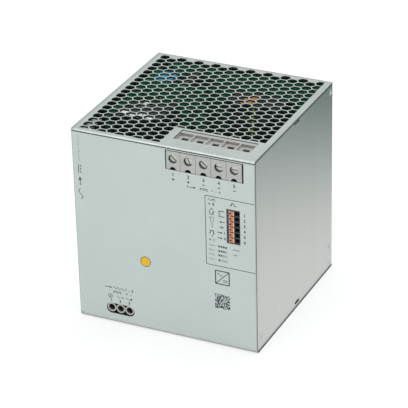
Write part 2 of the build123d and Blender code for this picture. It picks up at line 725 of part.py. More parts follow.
with BuildPart() as front_board_parts:
    for x in guide_columns:
        for level in guide_levels:
            lamp = (up(level) - 0.5, up(level) + 0.5)
            block((across(x) - 0.8, across(x) + 0.8), spans_y(13.1, board_depth), lamp)
    for level in button_levels.values():
        x, z = across(button_from_left), up(level)
        block((x - 3.0, x + 3.0), spans_y(12.6, board_depth), (z - 3.0, z + 3.0))
        rod_y(x, spans_y(stem_end + button_travel + 0.1, 12.6), z, 1.4)
    block(spans_x(95.0, 99.5), spans_y(board_depth + board, board_depth + board + 1.4), spans_z(40.0, 52.0))
save(front_board_parts.part, "front_board_parts")

main_board_depth = 115.4
with BuildPart() as main_board:
    thick = spans_y(main_board_depth, main_board_depth + board)
    block(spans_x(9.0, 115.5), thick, spans_z(board_top, 124.0))
save(main_board.part, "main_board")

input_board_back = 107.0
with BuildPart() as input_board:
    thick = spans_x(input_board_x, input_board_x + board)
    block(thick, spans_y(10.0, input_board_back), spans_z(26.0, 124.0))
    block(thick, spans_y(32.0, input_board_back), spans_z(board_top, 26.0))
save(input_board.part, "input_board")

with BuildPart() as output_board:
    thick = spans_y(output_board_depth, output_board_depth + board)
    block(spans_x(*output_board_x), thick, spans_z(21.0, 120.0))
save(output_board.part, "output_board")

control_depth = 84.6
with BuildPart() as control_board:
    thick = spans_y(control_depth, control_depth + board)
    block(spans_x(input_board_x + board, 49.0), thick, spans_z(board_top, 58.0))
save(control_board.part, "control_board")

post = 2.4
with BuildPart() as board_standoffs:
    for x in (14.0, 110.0):
        for level in (9.0, 118.0):
            rod_y(across(x), spans_y(main_board_depth + board, wall_front), up(level), post)
    for depth in (38.0, 100.0):
        for level in (32.0, 118.0):
            rod_x((-side_face + side_sheet, across(input_board_x)), behind(depth), up(level), post)
    for level in (30.0, 72.0):
        rod_y(across(87.5), spans_y(board_depth + board, output_board_depth), up(level), post)
    for level in (40.0, 110.0):
        reach = (across(output_board_x[1]), side_face - side_sheet)
        rod_x(reach, behind(output_board_depth + board / 2), up(level), board / 2 - 0.05)
save(board_standoffs.part, "board_standoffs")

# ------------------------------------------------------------------ power components
core_x, core_depth, core_z = (62.0, 98.0), (88.0, 106.0), (78.0, 120.0)
leg, yoke = 6.0, 6.5
centre_x = across(sum(core_x) / 2)
centre_leg = 5.6
with BuildPart() as transformer_core:
    block(spans_x(*core_x), spans_y(*core_depth), core_z)
    for side in (-1, 1):
        opening = sorted((centre_x + side * centre_leg, centre_x + side * (18.0 - leg)))
        block(opening, spans_y(core_depth[0] - 1, core_depth[1] + 1), (core_z[0] + yoke, core_z[1] - yoke),
              mode=Mode.SUBTRACT)
save(transformer_core.part, "transformer_core")

with BuildPart() as transformer_winding:
    reach_y = 9.3
    block((centre_x - 11.8, centre_x + 11.8), spans_y(core_depth[0] - reach_y, core_depth[1] + reach_y),
          (core_z[0] + yoke + 0.2, core_z[1] - yoke - 0.2))
    fillet(transformer_winding.edges().filter_by(Axis.Z), 5.0)
    block((centre_x - centre_leg - 0.1, centre_x + centre_leg + 0.1),
          spans_y(core_depth[0] - 0.1, core_depth[1] + 0.1), (0, height), mode=Mode.SUBTRACT)
save(transformer_winding.part, "transformer_winding")

inboard = across(input_board_x + board)
with BuildPart() as pfc_choke:
    with Locations(Location((inboard + 9, behind(65), 72), (0, 90, 0))):
        Cylinder(19.0, 18.0)
        fillet(pfc_choke.edges().filter_by(GeomType.CIRCLE), 5.0)
        Cylinder(7.5, 20.0, mode=Mode.SUBTRACT)
save(pfc_choke.part, "pfc_choke")

with BuildPart() as output_choke:
    with Locations(Location((across(88), behind(output_board_depth + board + 8), 50), (90, 0, 0))):
        Cylinder(17.0, 16.0)
        fillet(output_choke.edges().filter_by(GeomType.CIRCLE), 4.5)
        Cylinder(7.0, 18.0, mode=Mode.SUBTRACT)
save(output_choke.part, "output_choke")

with BuildPart() as bulk_capacitors:
    for depth, z in ((44.0, 30.0), (71.0, 30.0), (97.0, 30.0)):
        rod_x((inboard, inboard + 44.0), behind(depth), z, 12.5)
    fillet(bulk_capacitors.edges().filter_by(GeomType.CIRCLE).group_by(Axis.X)[-1], 1.2)
save(bulk_capacitors.part, "bulk_capacitors")

with BuildPart() as output_capacitors:
    near = output_board_depth + board
    for x in (66.0, 77.0, 88.0, 99.0, 110.0):
        for z in (86.0, 98.0):
            rod_y(across(x), spans_y(near, near + 25.0), z, 5.0)
    fillet(output_capacitors.edges().filter_by(GeomType.CIRCLE).group_by(Axis.Y)[-1], 0.8)
save(output_capacitors.part, "output_capacitors")

with BuildPart() as heatsinks:
    block(spans_x(30.0, 33.0), spans_y(89.0, main_board_depth), spans_z(5.0, 70.0))
    for depth in (90.0, 96.0, 102.0, 108.0):
        block(spans_x(24.5, 30.0), spans_y(depth, depth + 1.5), spans_z(5.0, 70.0))
    block(spans_x(104.0, 107.0), spans_y(62.0, main_board_depth), spans_z(18.0, 112.0))
    for depth in (63.0, 71.0, 79.0, 87.0, 95.0, 103.0):
        block(spans_x(107.0, 113.0), spans_y(depth, depth + 1.5), spans_z(18.0, 112.0))
save(heatsinks.part, "heatsinks")

with BuildPart() as power_transistors:
    for x, level in ((33.0, 20.0), (33.0, 45.0)):
        block(spans_x(x, x + 5.0), spans_y(94.0, 110.0), spans_z(level, level + 20.0))
    for level in (30.0, 58.0, 86.0):
        block(spans_x(99.0, 104.0), spans_y(66.0, 82.0), spans_z(level, level + 20.0))
save(power_transistors.part, "power_transistors")

with BuildPart() as line_filter_choke:
    block((inboard, inboard + 26.0), spans_y(48.0, 76.0), (96.0, 120.0))
    fillet(line_filter_choke.edges().filter_by(Axis.X), 6.0)
save(line_filter_choke.part, "line_filter_choke")

with BuildPart() as film_capacitors:
    block((inboard, inboard + 12.0), spans_y(94.0, 108.0), spans_z(6.0, 28.0))
    block((inboard, inboard + 14.0), spans_y(34.5, 45.5), spans_z(52.0, 82.0))
    fillet(film_capacitors.edges().filter_by(Axis.X), 1.2)
save(film_capacitors.part, "film_capacitors")

with BuildPart() as line_relay:
    block((inboard, inboard + 27.0), spans_y(36.0, 45.0), spans_z(6.0, 22.0))
save(line_relay.part, "line_relay")
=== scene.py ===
# %% [markdown]
# # Dressing a power supply for the mounting rail
# The engineering model comes in as a fixed frame: sixty separate pieces at their real size, each with its
# place in its mesh. This lesson gives every piece its finish and adds what is too fine for the model, such
# as the printing on the front, the wire on the ring cores and the small parts on the boards.
# Lengths are in metres. A new piece keeps its object at the origin, as the frame's own pieces do.

import math

import bmesh
import bpy
from mathutils import Matrix, Vector


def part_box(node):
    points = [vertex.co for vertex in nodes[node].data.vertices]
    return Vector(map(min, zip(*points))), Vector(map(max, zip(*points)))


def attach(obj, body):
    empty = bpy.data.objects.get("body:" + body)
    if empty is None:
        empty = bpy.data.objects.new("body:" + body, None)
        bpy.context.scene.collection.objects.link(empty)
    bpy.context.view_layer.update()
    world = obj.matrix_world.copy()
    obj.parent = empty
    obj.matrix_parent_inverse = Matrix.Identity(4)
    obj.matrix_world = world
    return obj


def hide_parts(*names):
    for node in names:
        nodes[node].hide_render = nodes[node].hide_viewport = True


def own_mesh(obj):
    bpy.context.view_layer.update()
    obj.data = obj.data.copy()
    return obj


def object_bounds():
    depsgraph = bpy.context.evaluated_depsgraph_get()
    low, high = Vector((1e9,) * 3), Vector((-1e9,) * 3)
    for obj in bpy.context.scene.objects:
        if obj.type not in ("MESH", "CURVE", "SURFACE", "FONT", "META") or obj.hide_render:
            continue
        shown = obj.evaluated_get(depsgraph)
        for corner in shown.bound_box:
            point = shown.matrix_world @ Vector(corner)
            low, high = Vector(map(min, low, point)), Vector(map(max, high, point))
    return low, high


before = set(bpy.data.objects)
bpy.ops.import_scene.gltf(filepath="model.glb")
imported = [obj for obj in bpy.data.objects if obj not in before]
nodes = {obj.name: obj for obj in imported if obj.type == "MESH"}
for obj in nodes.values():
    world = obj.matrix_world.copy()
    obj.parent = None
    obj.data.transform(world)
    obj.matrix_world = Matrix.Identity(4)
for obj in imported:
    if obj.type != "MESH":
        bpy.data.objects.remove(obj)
cad_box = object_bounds()

# %% [markdown]
# ## Where things are
# Everything printed or mounted on the front is easiest to place by its distance from the left edge and
# from the top edge, in millimetres. Two edges of the case turn such a pair into a place in the frame.

# %% Edges of the case
MM = 0.001
case_left, case_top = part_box("hood_top")[0].x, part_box("hood_top")[1].z
case_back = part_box("hood_top")[1].y
case_right, case_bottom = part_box("hood_top")[1].x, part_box("hood_bottom")[0].z
foremost = cad_box[0].y
foil_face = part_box("front_foil")[0].y
wall_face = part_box("rear_wall")[1].y
case_middle = Vector((0, (foremost + case_back) / 2, (case_bottom + case_top) / 2))
print("case", round(case_right - case_left, 4), "wide,", round(case_top - case_bottom, 4), "high")

# %% [markdown]
# ## Camera
# The unit is looked at from its front right and from above, through a long lens, so the edges that run
# back hardly converge. The camera is tilted a little about its own axis.

# %% Set the camera
azimuth, elevation, roll = math.radians(25.71), math.radians(27.79), math.radians(-1.44)
distance = 1.3787
aim = (1.9 * MM, 3.37 * MM)  # the unit sits this far right of and above the middle of the view

back = Vector((math.sin(azimuth) * math.cos(elevation),
               -math.cos(azimuth) * math.cos(elevation),
               math.sin(elevation)))
level = Vector((math.cos(azimuth), math.sin(azimuth), 0))
right = math.cos(roll) * level + math.sin(roll) * back.cross(level)
above = back.cross(right)

camera_data = bpy.data.cameras.new("camera")
camera = bpy.data.objects.new("camera", camera_data)
bpy.context.scene.collection.objects.link(camera)
bpy.context.scene.camera = camera
lens_over_sensor = 5.435
camera_data.lens = camera_data.sensor_width * lens_over_sensor
camera_data.clip_start, camera_data.clip_end = 0.05, 50
camera.matrix_world = Matrix.Translation(
    case_middle + back * distance - right * aim[0] - above * aim[1]
) @ Matrix((right, above, back)).transposed().to_4x4()
print("camera at", [round(value, 3) for value in camera.matrix_world.translation])

# %% [markdown]
# ## Helpers for nodes and objects
# Materials and Geometry Nodes are both trees of nodes. One helper adds a node together with the links that
# feed it, so that a tree reads from top to bottom. Shorter ones add the nodes that come up most, and
# another starts a group with named inputs and outputs.

# %% Helpers for node trees
SOCKETS = {"float": "NodeSocketFloat", "int": "NodeSocketInt", "vector": "NodeSocketVector",
           "colour": "NodeSocketColor", "geometry": "NodeSocketGeometry", "material": "NodeSocketMaterial"}


def add_node(tree, kind, inputs=None, **settings):
    """A new node; inputs gives each socket, by name or number, a constant or the output that feeds it."""
    node = tree.nodes.new(kind)
    for name, value in settings.items():
        setattr(node, name, value)
    for name, value in (inputs or {}).items():
        if isinstance(value, bpy.types.NodeSocket):
            tree.links.new(value, node.inputs[name])
        else:
            node.inputs[name].default_value = value
    return node


def output_of(tree, kind, inputs=None, output=0, **settings):
    """One output of a new node."""
    return add_node(tree, kind, inputs, **settings).outputs[output]


def calc(tree, operation, *values, **settings):
    """The result of a calculation on one or two values."""
    return output_of(tree, "ShaderNodeMath", dict(enumerate(values)), operation=operation, **settings)


def vector_calc(tree, operation, *values):
    """The same for vectors; a length is a plain value, with an output of its own."""
    output = "Value" if operation == "LENGTH" else "Vector"
    return output_of(tree, "ShaderNodeVectorMath", dict(enumerate(values)), output, operation=operation)


def ramp(tree, value, start, end, **limits):
    """Goes from 0 to 1, or from To_Min to To_Max, while the value goes from start to end."""
    inputs = {"Value": value, "From Min": start, "From Max": end}
    inputs.update((name.replace("_", " "), limit) for name, limit in limits.items())
    return output_of(tree, "ShaderNodeMapRange", inputs)


def noise(tree, place, scale, detail, roughness=0.5):
    return output_of(tree, "ShaderNodeTexNoise", {"Vector": place, "Scale": scale, "Detail": detail,
                                                  "Roughness": roughness}, "Fac")


def blend(tree, factor, first, second):
    """A colour between two."""
    return output_of(tree, "ShaderNodeMix", {"Factor": factor, "A": first, "B": second}, "Result",
                     data_type="RGBA")


def place_in(tree):
    """Where the shaded point lies on its piece. At rest that is its place in the frame."""
    return output_of(tree, "ShaderNodeTexCoord", output="Object")


def normal_in(tree):
    return output_of(tree, "ShaderNodeNewGeometry", output="Normal")


def parts_of(tree, vector):
    """The x, y and z of a vector."""
    return add_node(tree, "ShaderNodeSeparateXYZ", {0: vector}).outputs


def new_group(name, kind, inputs, outputs):
    """A node group, what its inputs give, and the sockets that its results go to."""
    group = bpy.data.node_groups.new(name, kind)
    for direction, sockets in (("INPUT", inputs), ("OUTPUT", outputs)):
        for label, socket in sockets:
            group.interface.new_socket(label, in_out=direction, socket_type=SOCKETS[socket])
    return group, group.nodes.new("NodeGroupInput").outputs, group.nodes.new("NodeGroupOutput").inputs


def new_mask(name, inputs=()):
    """A shader group whose result is 1 on one part of a surface and 0 on the rest."""
    return new_group(name, "ShaderNodeTree", inputs, [("Mask", "float")])


def srgb(red, green, blue):
    """A colour given in screen values from 0 to 255, as Blender's linear colour."""
    linear = [(value / 255 / 12.92) if value < 11 else ((value / 255 + 0.055) / 1.055) ** 2.4
              for value in (red, green, blue)]
    return (*linear, 1.0)


# %% Helpers for objects
def new_object(name, data):
    """A new object in the scene."""
    item = bpy.data.objects.new(name, data)
    bpy.context.scene.collection.objects.link(item)
    return item


def plain_mesh(item):
    """A mesh of its own with the evaluated shape of an object."""
    bpy.context.view_layer.update()
    return bpy.data.meshes.new_from_object(item.evaluated_get(bpy.context.evaluated_depsgraph_get()))


def add_piece(name, mesh):
    """A new piece that stays with the case."""
    piece = new_object(name, mesh)
    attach(piece, "root")
    return piece


# %% [markdown]
# ## Effects that several finishes share
# Real surfaces are never one even colour. Their tone drifts, dust lies on what faces up, fine grain breaks
# up the highlights, and handling changes the gloss in patches. Each of these is a small shader group, so a
# finish only has to say how much of it there is.

# %% Tone: slow drift between two colours, and dust on what faces up
tone, given, made = new_group(
    "tone", "ShaderNodeTree",
    [("Colour", "colour"), ("Second Colour", "colour"), ("Dust Colour", "colour"),
     ("Patches", "float"), ("Stretch", "vector"), ("Dust", "float")],
    [("Colour", "colour")])
place = place_in(tone)
drift = noise(tone, vector_calc(tone, "MULTIPLY", place, given["Stretch"]), given["Patches"], 4.0, 0.6)
two_tone = blend(tone, ramp(tone, drift, 0.32, 0.68), given["Colour"], given["Second Colour"])
upward = ramp(tone, parts_of(tone, normal_in(tone))["Z"], 0.2, 1.0)
specks = calc(tone, "MULTIPLY", noise(tone, place, 900.0, 3.0), upward)
dusted = blend(tone, calc(tone, "MULTIPLY", specks, given["Dust"]), two_tone, given["Dust Colour"])
tone.links.new(dusted, made["Colour"])
print("group", tone.name, "has", len(tone.nodes), "nodes")

# %% Grain: a fine height for bump, drawn out along an axis where the sheet was rolled or brushed
grain, given, made = new_group(
    "grain", "ShaderNodeTree", [("Grains", "float"), ("Stretch", "vector")], [("Height", "float")])
stretched = vector_calc(grain, "MULTIPLY", place_in(grain), given["Stretch"])
grain.links.new(noise(grain, stretched, given["Grains"], 5.0, 0.55), made["Height"])

# %% Handling: duller and shinier patches, and a few fine scratches
handling, given, made = new_group(
    "handling", "ShaderNodeTree",
    [("Roughness", "float"), ("Spread", "float"), ("Scratches", "float")], [("Roughness", "float")])
place = place_in(handling)
smudges = calc(handling, "SUBTRACT", noise(handling, place, 38.0, 4.0), 0.5)
worn = calc(handling, "ADD", calc(handling, "MULTIPLY", smudges, given["Spread"]), given["Roughness"])
slanted = output_of(handling, "ShaderNodeMapping", {"Vector": place, "Rotation": (0.5, 0.9, 0.7),
                                                    "Scale": (6.0, 240.0, 90.0)})
thin_lines = ramp(handling, noise(handling, slanted, 4.0, 2.0), 0.66, 0.72)
scratched = calc(handling, "MULTIPLY", thin_lines, given["Scratches"])
handling.links.new(calc(handling, "ADD", scratched, worn, use_clamp=True), made["Roughness"])

# %% Painted shade inside the case: marks what lies inside, such as the back of a sheet or the wall of a vent
inside_shade, given, made = new_mask("inside_shade")
near, far = Vector((case_left, foil_face + 0.9 * MM, case_bottom)), Vector((case_right, wall_face, case_top))
skin = Vector((0.95, 0.35, 0.12)) * MM  # what lies this close to the outside still counts as outside
apart = vector_calc(inside_shade, "ABSOLUTE", vector_calc(inside_shade, "SUBTRACT", place_in(inside_shade), (near + far) / 2))
beyond = vector_calc(inside_shade, "SUBTRACT", apart, (far - near) / 2 - skin)
x, y, z = parts_of(inside_shade, beyond)
largest = calc(inside_shade, "MAXIMUM", calc(inside_shade, "MAXIMUM", x, y), z)
inside_shade.links.new(calc(inside_shade, "LESS_THAN", largest, 0.0), made["Mask"])

# %% Painted shade in holes: marks the walls of holes, by their depth behind the front or below the top
hole_shade, given, made = new_mask("hole_shade", [("Start", "float"), ("End", "float")])
funnels = foremost + 10 * MM  # from here on, holes open upwards
x, y, z = parts_of(hole_shade, place_in(hole_shade))
deep = ramp(hole_shade, y, given["Start"], given["End"])
low = ramp(hole_shade, z, case_top - 2.3 * MM, case_top - 3.2 * MM)
# Walls that face the front, such as the rear walls of the funnels, get part of this painted shade too.
facing_front = ramp(hole_shade, parts_of(hole_shade, normal_in(hole_shade))["Y"], -0.6, -0.9, To_Max=0.42)
shaded = calc(hole_shade, "MAXIMUM", low, facing_front)
either = output_of(hole_shade, "ShaderNodeMix", {"Factor": calc(hole_shade, "GREATER_THAN", y, funnels), "A": deep,
                                             "B": shaded}, "Result")
hole_shade.links.new(either, made["Mask"])

# %% Cut edge: marks the narrow faces to the left and right of a sheet, where it was cut; they get painted shade
cut_edge_shade, given, made = new_mask("cut_edge_shade")
sideways = calc(cut_edge_shade, "ABSOLUTE", parts_of(cut_edge_shade, normal_in(cut_edge_shade))["X"])
cut_edge_shade.links.new(calc(cut_edge_shade, "GREATER_THAN", sideways, 0.95), made["Mask"])

# %% Seam: marks the open line between the hood and the front, where a painted shadow lies
seam_shade, given, made = new_mask("seam_shade")
x, y, z = parts_of(seam_shade, place_in(seam_shade))
between = calc(seam_shade, "MULTIPLY", calc(seam_shade, "LESS_THAN", z, case_top - 1.15 * MM),
               calc(seam_shade, "GREATER_THAN", z, case_top - 1.9 * MM))
in_front = calc(seam_shade, "LESS_THAN", y, foremost + 3 * MM)
seam_shade.links.new(calc(seam_shade, "MULTIPLY", between, in_front), made["Mask"])

# %% Rim: marks the hood's left and rear borders, where the sheet falls away from the light
rim, given, made = new_mask("rim")
x, y, z = parts_of(rim, place_in(rim))
leftmost = ramp(rim, x, case_left + 2.2 * MM, case_left + 1.6 * MM)
rearmost = ramp(rim, y, wall_face - 2.6 * MM, wall_face - 1.8 * MM)
rim.links.new(calc(rim, "MAXIMUM", leftmost, rearmost), made["Mask"])

# %% [markdown]
# ## Making a finish
# A finish is one material: a Principled shader fed by the three groups. The values that are the same all
# over, such as how metallic it is, are set on the shader itself. `finish` builds the usual case, and a few
# materials below add their own pattern to what it returns.

# %% One function for a finish
EVEN = (1.0, 1.0, 1.0)
dust_grey = srgb(168, 168, 162)
worn_roughness = 0.65  # of a surface inside a mask


def use_group(tree, group, **values):
    """What a shader group gives in a material; _ stands for a space in an input's name."""
    inputs = {name.replace("_", " "): value for name, value in values.items()}
    return output_of(tree, "ShaderNodeGroup", inputs, node_tree=group)


def shader_input(material, name):
    return material.node_tree.nodes["Principled BSDF"].inputs[name]


def source_of(material, name):
    """What feeds an input of a finish's shader so far."""
    return shader_input(material, name).links[0].from_socket


def feed(material, name, source):
    material.node_tree.links.new(source, shader_input(material, name))


def finish(name, colour, second, patches=60.0, stretch=EVEN, grains=1500.0, relief=0.01,
           roughness=0.45, spread=0.12, scratches=0.0, dust=0.0, **even):
    """A material from the three groups, between two screen colours. relief is the grain's depth in
    millimetres."""
    material = bpy.data.materials.new(name)
    material.use_nodes = True
    tree = material.node_tree
    for socket, value in even.items():
        shader_input(material, socket.replace("_", " ")).default_value = value
    feed(material, "Base Color", use_group(
        tree, tone, Colour=srgb(*colour), Second_Colour=srgb(*second), Dust_Colour=dust_grey,
        Patches=patches, Stretch=stretch, Dust=dust))
    feed(material, "Roughness", use_group(
        tree, handling, Roughness=roughness, Spread=spread, Scratches=scratches))
    feed(material, "Normal", output_of(tree, "ShaderNodeBump", {
        "Strength": 0.6, "Distance": relief * MM,
        "Height": use_group(tree, grain, Grains=grains, Stretch=stretch)}))
    return material


def cover(material, group, colour, amount=0.85, **values):
    """Gives a finish another, duller colour where a mask group says so."""
    tree = material.node_tree
    strength = calc(tree, "MULTIPLY", use_group(tree, group, **values), amount)
    feed(material, "Base Color", blend(tree, strength, source_of(material, "Base Color"), srgb(*colour)))
    feed(material, "Roughness", output_of(tree, "ShaderNodeMix", {
        "Factor": strength, "A": source_of(material, "Roughness"), "B": worn_roughness}, "Result"))


# %% [markdown]
# ## The finishes
# The hood and the front are zinc-plated steel, the sides are rolled aluminium, and the front carries a
# printed foil. Zinc shows faint crystals, so the hood mixes in a cell pattern. The sides keep the streaks
# of the rolling mill, which run upwards here. Inside the case both are dull and get a painted shade: dark
# green-grey, for the shade there and the green light thrown by the boards.

# %% Sheet metal
zinc = finish("zinc_plated_sheet", (197, 203, 200), (186, 193, 190), patches=45.0, grains=2600.0,
              relief=0.004, roughness=0.36, spread=0.14, scratches=0.12, dust=0.1, Metallic=0.85)
tree = zinc.node_tree
crystals = output_of(tree, "ShaderNodeTexVoronoi", {"Vector": place_in(tree), "Scale": 420.0,
                                                    "Randomness": 1.0}, "Color")
brightened = output_of(tree, "ShaderNodeVectorMath", {
    0: source_of(zinc, "Base Color"), "Scale": ramp(tree, crystals, 0.0, 1.0, To_Min=0.93, To_Max=1.04)},
    operation="SCALE")
feed(zinc, "Base Color", brightened)

rolled = (1.0, 1.0, 0.035)
aluminium = finish("rolled_aluminium", (194, 198, 194), (191, 195, 191), patches=110.0, stretch=rolled,
                   grains=1400.0, relief=0.0006, roughness=0.3, spread=0.03, scratches=0.03, Metallic=0.92)
# Painted shade on the narrow faces, for the shadow and the dark reflections that lie on them.
cover(zinc, cut_edge_shade, (84, 90, 88))
# A painted shadow in the gap under the hood's front bend.
cover(zinc, seam_shade, (58, 64, 62))
cover(zinc, rim, (150, 155, 153), 0.55)
# Both sheets get painted shade inside the case: a dark green-grey for the shade and the light from the green
# boards.
for material in (zinc, aluminium):
    cover(material, inside_shade, (38, 60, 48), 0.95)
die_cast = finish("die_cast_aluminium", (176, 180, 180), (160, 165, 165), patches=160.0, grains=900.0,
                  relief=0.03, roughness=0.5, spread=0.15, Metallic=0.85)
print("sheet metal:", zinc.name, aluminium.name, die_cast.name)

# %% Foil, plastics and small metal
foil = finish("front_foil_grey", (196, 205, 201), (193, 202, 198), patches=30.0, grains=3200.0, relief=0.006,
              roughness=0.5, spread=0.08, scratches=0.06)
terminal_grey = finish("terminal_grey", (184, 184, 180), (175, 175, 170), patches=150.0, grains=1800.0,
                       relief=0.01, roughness=0.5, spread=0.1, dust=0.1)
# The terminals' holes get painted shade, darker the deeper they go.
cover(terminal_grey, hole_shade, (34, 34, 31), 0.94, Start=foremost + 0.5 * MM, End=foremost + 1.7 * MM)
plated = finish("plated_steel", (206, 207, 203), (190, 191, 187), patches=320.0, grains=2500.0, relief=0.003,
                roughness=0.34, spread=0.12, scratches=0.1, Metallic=0.9)
nickel = finish("nickel_plate", (170, 168, 160), (150, 148, 140), patches=300.0, grains=2000.0, relief=0.005,
                roughness=0.32, spread=0.15, Metallic=1.0)
spring_wire = finish("spring_wire", (140, 142, 144), (112, 114, 116), patches=500.0, relief=0.004,
                     roughness=0.35, Metallic=1.0)
tinned = finish("tinned_copper", (205, 178, 150), (190, 186, 178), patches=240.0, relief=0.006,
                roughness=0.34, Metallic=1.0)
black_plastic = finish("connector_black", (60, 64, 63), (48, 52, 51), patches=200.0, grains=1700.0,
                       relief=0.015, roughness=0.38, dust=0.12)
orange_plastic = finish("lever_orange", (210, 124, 70), (194, 106, 56), patches=260.0, grains=1700.0,
                        relief=0.012, roughness=0.34, Coat_Weight=0.3)

# %% The levers: painted highlights along their sides, and painted shade in a dark dot at the screwdriver's place
tree = orange_plastic.node_tree
low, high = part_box("release_lever_1")
side_distance = calc(tree, "ABSOLUTE", calc(
    tree, "SUBTRACT", parts_of(tree, place_in(tree))["X"], (low.x + high.x) / 2 + 0.25 * MM))
# Painted highlight: a pale band along each side of a lever, where its edges catch the light.
side_highlight = ramp(tree, side_distance, 0.95 * MM, 1.15 * MM, To_Max=0.9)
feed(orange_plastic, "Base Color", blend(
    tree, side_highlight, source_of(orange_plastic, "Base Color"), srgb(224, 204, 194)))
# Painted shade inside the screwdriver's recess.
cover(orange_plastic, hole_shade, (30, 14, 8), 0.97, Start=low.y + 0.55 * MM, End=low.y + 0.8 * MM)

# Painted shade: a dark dot that stands for the shaded screwdriver's recess on each lever.
dot, given, made = new_mask("lever_dot_shade")
pitch = (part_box("release_lever_1")[0].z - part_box("release_lever_6")[0].z) / 5
x, y, z = parts_of(dot, place_in(dot))
from_level = calc(dot, "PINGPONG", calc(dot, "SUBTRACT", z, (low.z + high.z) / 2), pitch / 2)
offset = output_of(dot, "ShaderNodeCombineXYZ", {"X": calc(dot, "SUBTRACT", x, low.x + 1.1 * MM),
                                                 "Z": from_level})
dot.links.new(ramp(dot, vector_calc(dot, "LENGTH", offset), 0.75 * MM, 0.6 * MM), made["Mask"])
cover(orange_plastic, dot, (40, 22, 14), 0.95)

# %% Buttons and light guides
button_grey = finish("button_grey", (208, 214, 211), (198, 205, 201), patches=220.0, relief=0.01,
                     roughness=0.45)
frosted = finish("frosted_guide", (224, 229, 227), (212, 219, 216), patches=300.0, relief=0.01,
                 roughness=0.35, Transmission_Weight=0.35, IOR=1.49)

# %% Parts inside
ferrite = finish("ferrite", (40, 42, 44), (28, 30, 32), patches=260.0, grains=1200.0, relief=0.03,
                 roughness=0.6, dust=0.06)
sleeve = finish("capacitor_sleeve", (30, 32, 35), (22, 24, 27), patches=90.0, relief=0.01, roughness=0.35,
                dust=0.08)
can_metal = finish("capacitor_top", (176, 178, 176), (160, 162, 160), patches=300.0, relief=0.006,
                   roughness=0.35, Metallic=1.0)
blue_lacquer = finish("blue_lacquer", (84, 196, 232), (48, 160, 206), patches=120.0, relief=0.02,
                      roughness=0.26, Coat_Weight=0.4)
relay_case = finish("relay_case", (44, 50, 46), (34, 40, 36), patches=140.0, relief=0.01, roughness=0.45,
                    dust=0.1)
cap_white = finish("cap_white", (250, 250, 248), (244, 245, 242), patches=140.0, relief=0.01, roughness=0.4)
milky_sheet = finish("milky_sheet", (196, 202, 198), (182, 189, 185), patches=90.0, relief=0.01,
                     roughness=0.5)
copper_tape = finish("copper_tape", (238, 152, 98), (216, 124, 76), patches=220.0, relief=0.01,
                     roughness=0.4)
earth_wire = finish("earth_wire_sleeve", (150, 158, 62), (104, 116, 44), patches=180.0, relief=0.01,
                    roughness=0.45)
package_black = finish("package_black", (38, 38, 40), (28, 28, 30), patches=300.0, grains=1500.0,
                       relief=0.02, roughness=0.55, dust=0.1)
solder = finish("solder", (204, 206, 204), (184, 186, 184), patches=700.0, relief=0.01, roughness=0.25,
                Metallic=1.0)
dark_tape = finish("dark_tape", (48, 52, 40), (36, 40, 30), patches=130.0, relief=0.01, roughness=0.4)
enamel = finish("enamelled_wire", (84, 52, 34), (66, 38, 24), patches=240.0, relief=0.004, roughness=0.35,
                Metallic=0.6)
ring_paint = finish("ring_core_paint", (52, 62, 44), (40, 50, 34), patches=140.0, relief=0.02, roughness=0.4)
aluminium_fin = finish("extruded_fin", (112, 116, 114), (96, 101, 99), patches=160.0, relief=0.01,
                       roughness=0.5, dust=0.1, Metallic=0.8)
print(len(bpy.data.materials), "finishes so far")

# %% [markdown]
# ## Circuit boards
# A board is green solder mask over copper, which shows through in straight bands and wide fields of a
# slightly different green. A layer of square cells gives such a layout without drawing any real circuit.

# %% Board material
board_green = finish("board_green", (54, 172, 118), (40, 148, 100), patches=70.0, relief=0.008,
                     roughness=0.4)
tree = board_green.node_tree
traces = output_of(tree, "ShaderNodeTexVoronoi", {
    "Vector": place_in(tree), "Scale": 260.0, "Randomness": 0.8}, "Distance",
    feature="F1", distance="CHEBYCHEV")
feed(board_green, "Base Color", blend(
    tree, ramp(tree, traces, 0.5, 0.56), source_of(board_green, "Base Color"), srgb(52, 164, 112)))

# %% [markdown]
# ## Giving each piece its finish
# The frame's pieces keep their shape and get a better material. One table says which finish belongs to
# which pieces, and a check makes sure that none was forgotten.

# %% Assign the finishes
screws = [f"output_screw_{i}" for i in range(1, 6)] + [f"input_screw_{i}" for i in range(1, 4)]
cages = [f"output_cage_{i}" for i in range(1, 6)] + [f"input_cage_{i}" for i in range(1, 4)]
levers = [f"release_lever_{i}" for i in range(1, 7)]
boards = ["front_board", "main_board", "input_board", "output_board", "control_board"]
finish_of = {
    zinc: ["hood_top", "hood_bottom", "front_panel"],
    aluminium: ["side_left", "side_right", "rear_wall"],
    die_cast: ["rail_adapter_plate"],
    foil: ["front_foil"],
    terminal_grey: ["output_terminal_body", "input_terminal_body"],
    plated: ["housing_screws", "adapter_screws", "rail_foot", "board_standoffs", *screws],
    nickel: ["signal_contacts", *cages],
    spring_wire: ["foot_spring"],
    tinned: ["terminal_busbars"],
    black_plastic: ["signal_connector_body"],
    orange_plastic: levers,
    button_grey: ["voltage_button_up", "voltage_button_down"],
    frosted: ["led_light_guides"],
    board_green: boards,
    ferrite: ["transformer_core"],
    dark_tape: ["transformer_winding"],
    enamel: ["pfc_choke", "output_choke"],
    sleeve: ["bulk_capacitors", "output_capacitors"],
    blue_lacquer: ["film_capacitors"],
    relay_case: ["line_relay", "line_filter_choke"],
    aluminium_fin: ["heatsinks"],
    package_black: ["front_board_parts", "power_transistors"],
}
for material, names in finish_of.items():
    for name in names:
        nodes[name].data.materials.clear()
        nodes[name].data.materials.append(material)
unfinished = set(nodes) - {name for names in finish_of.values() for name in names}
print("pieces without a finish:", sorted(unfinished))

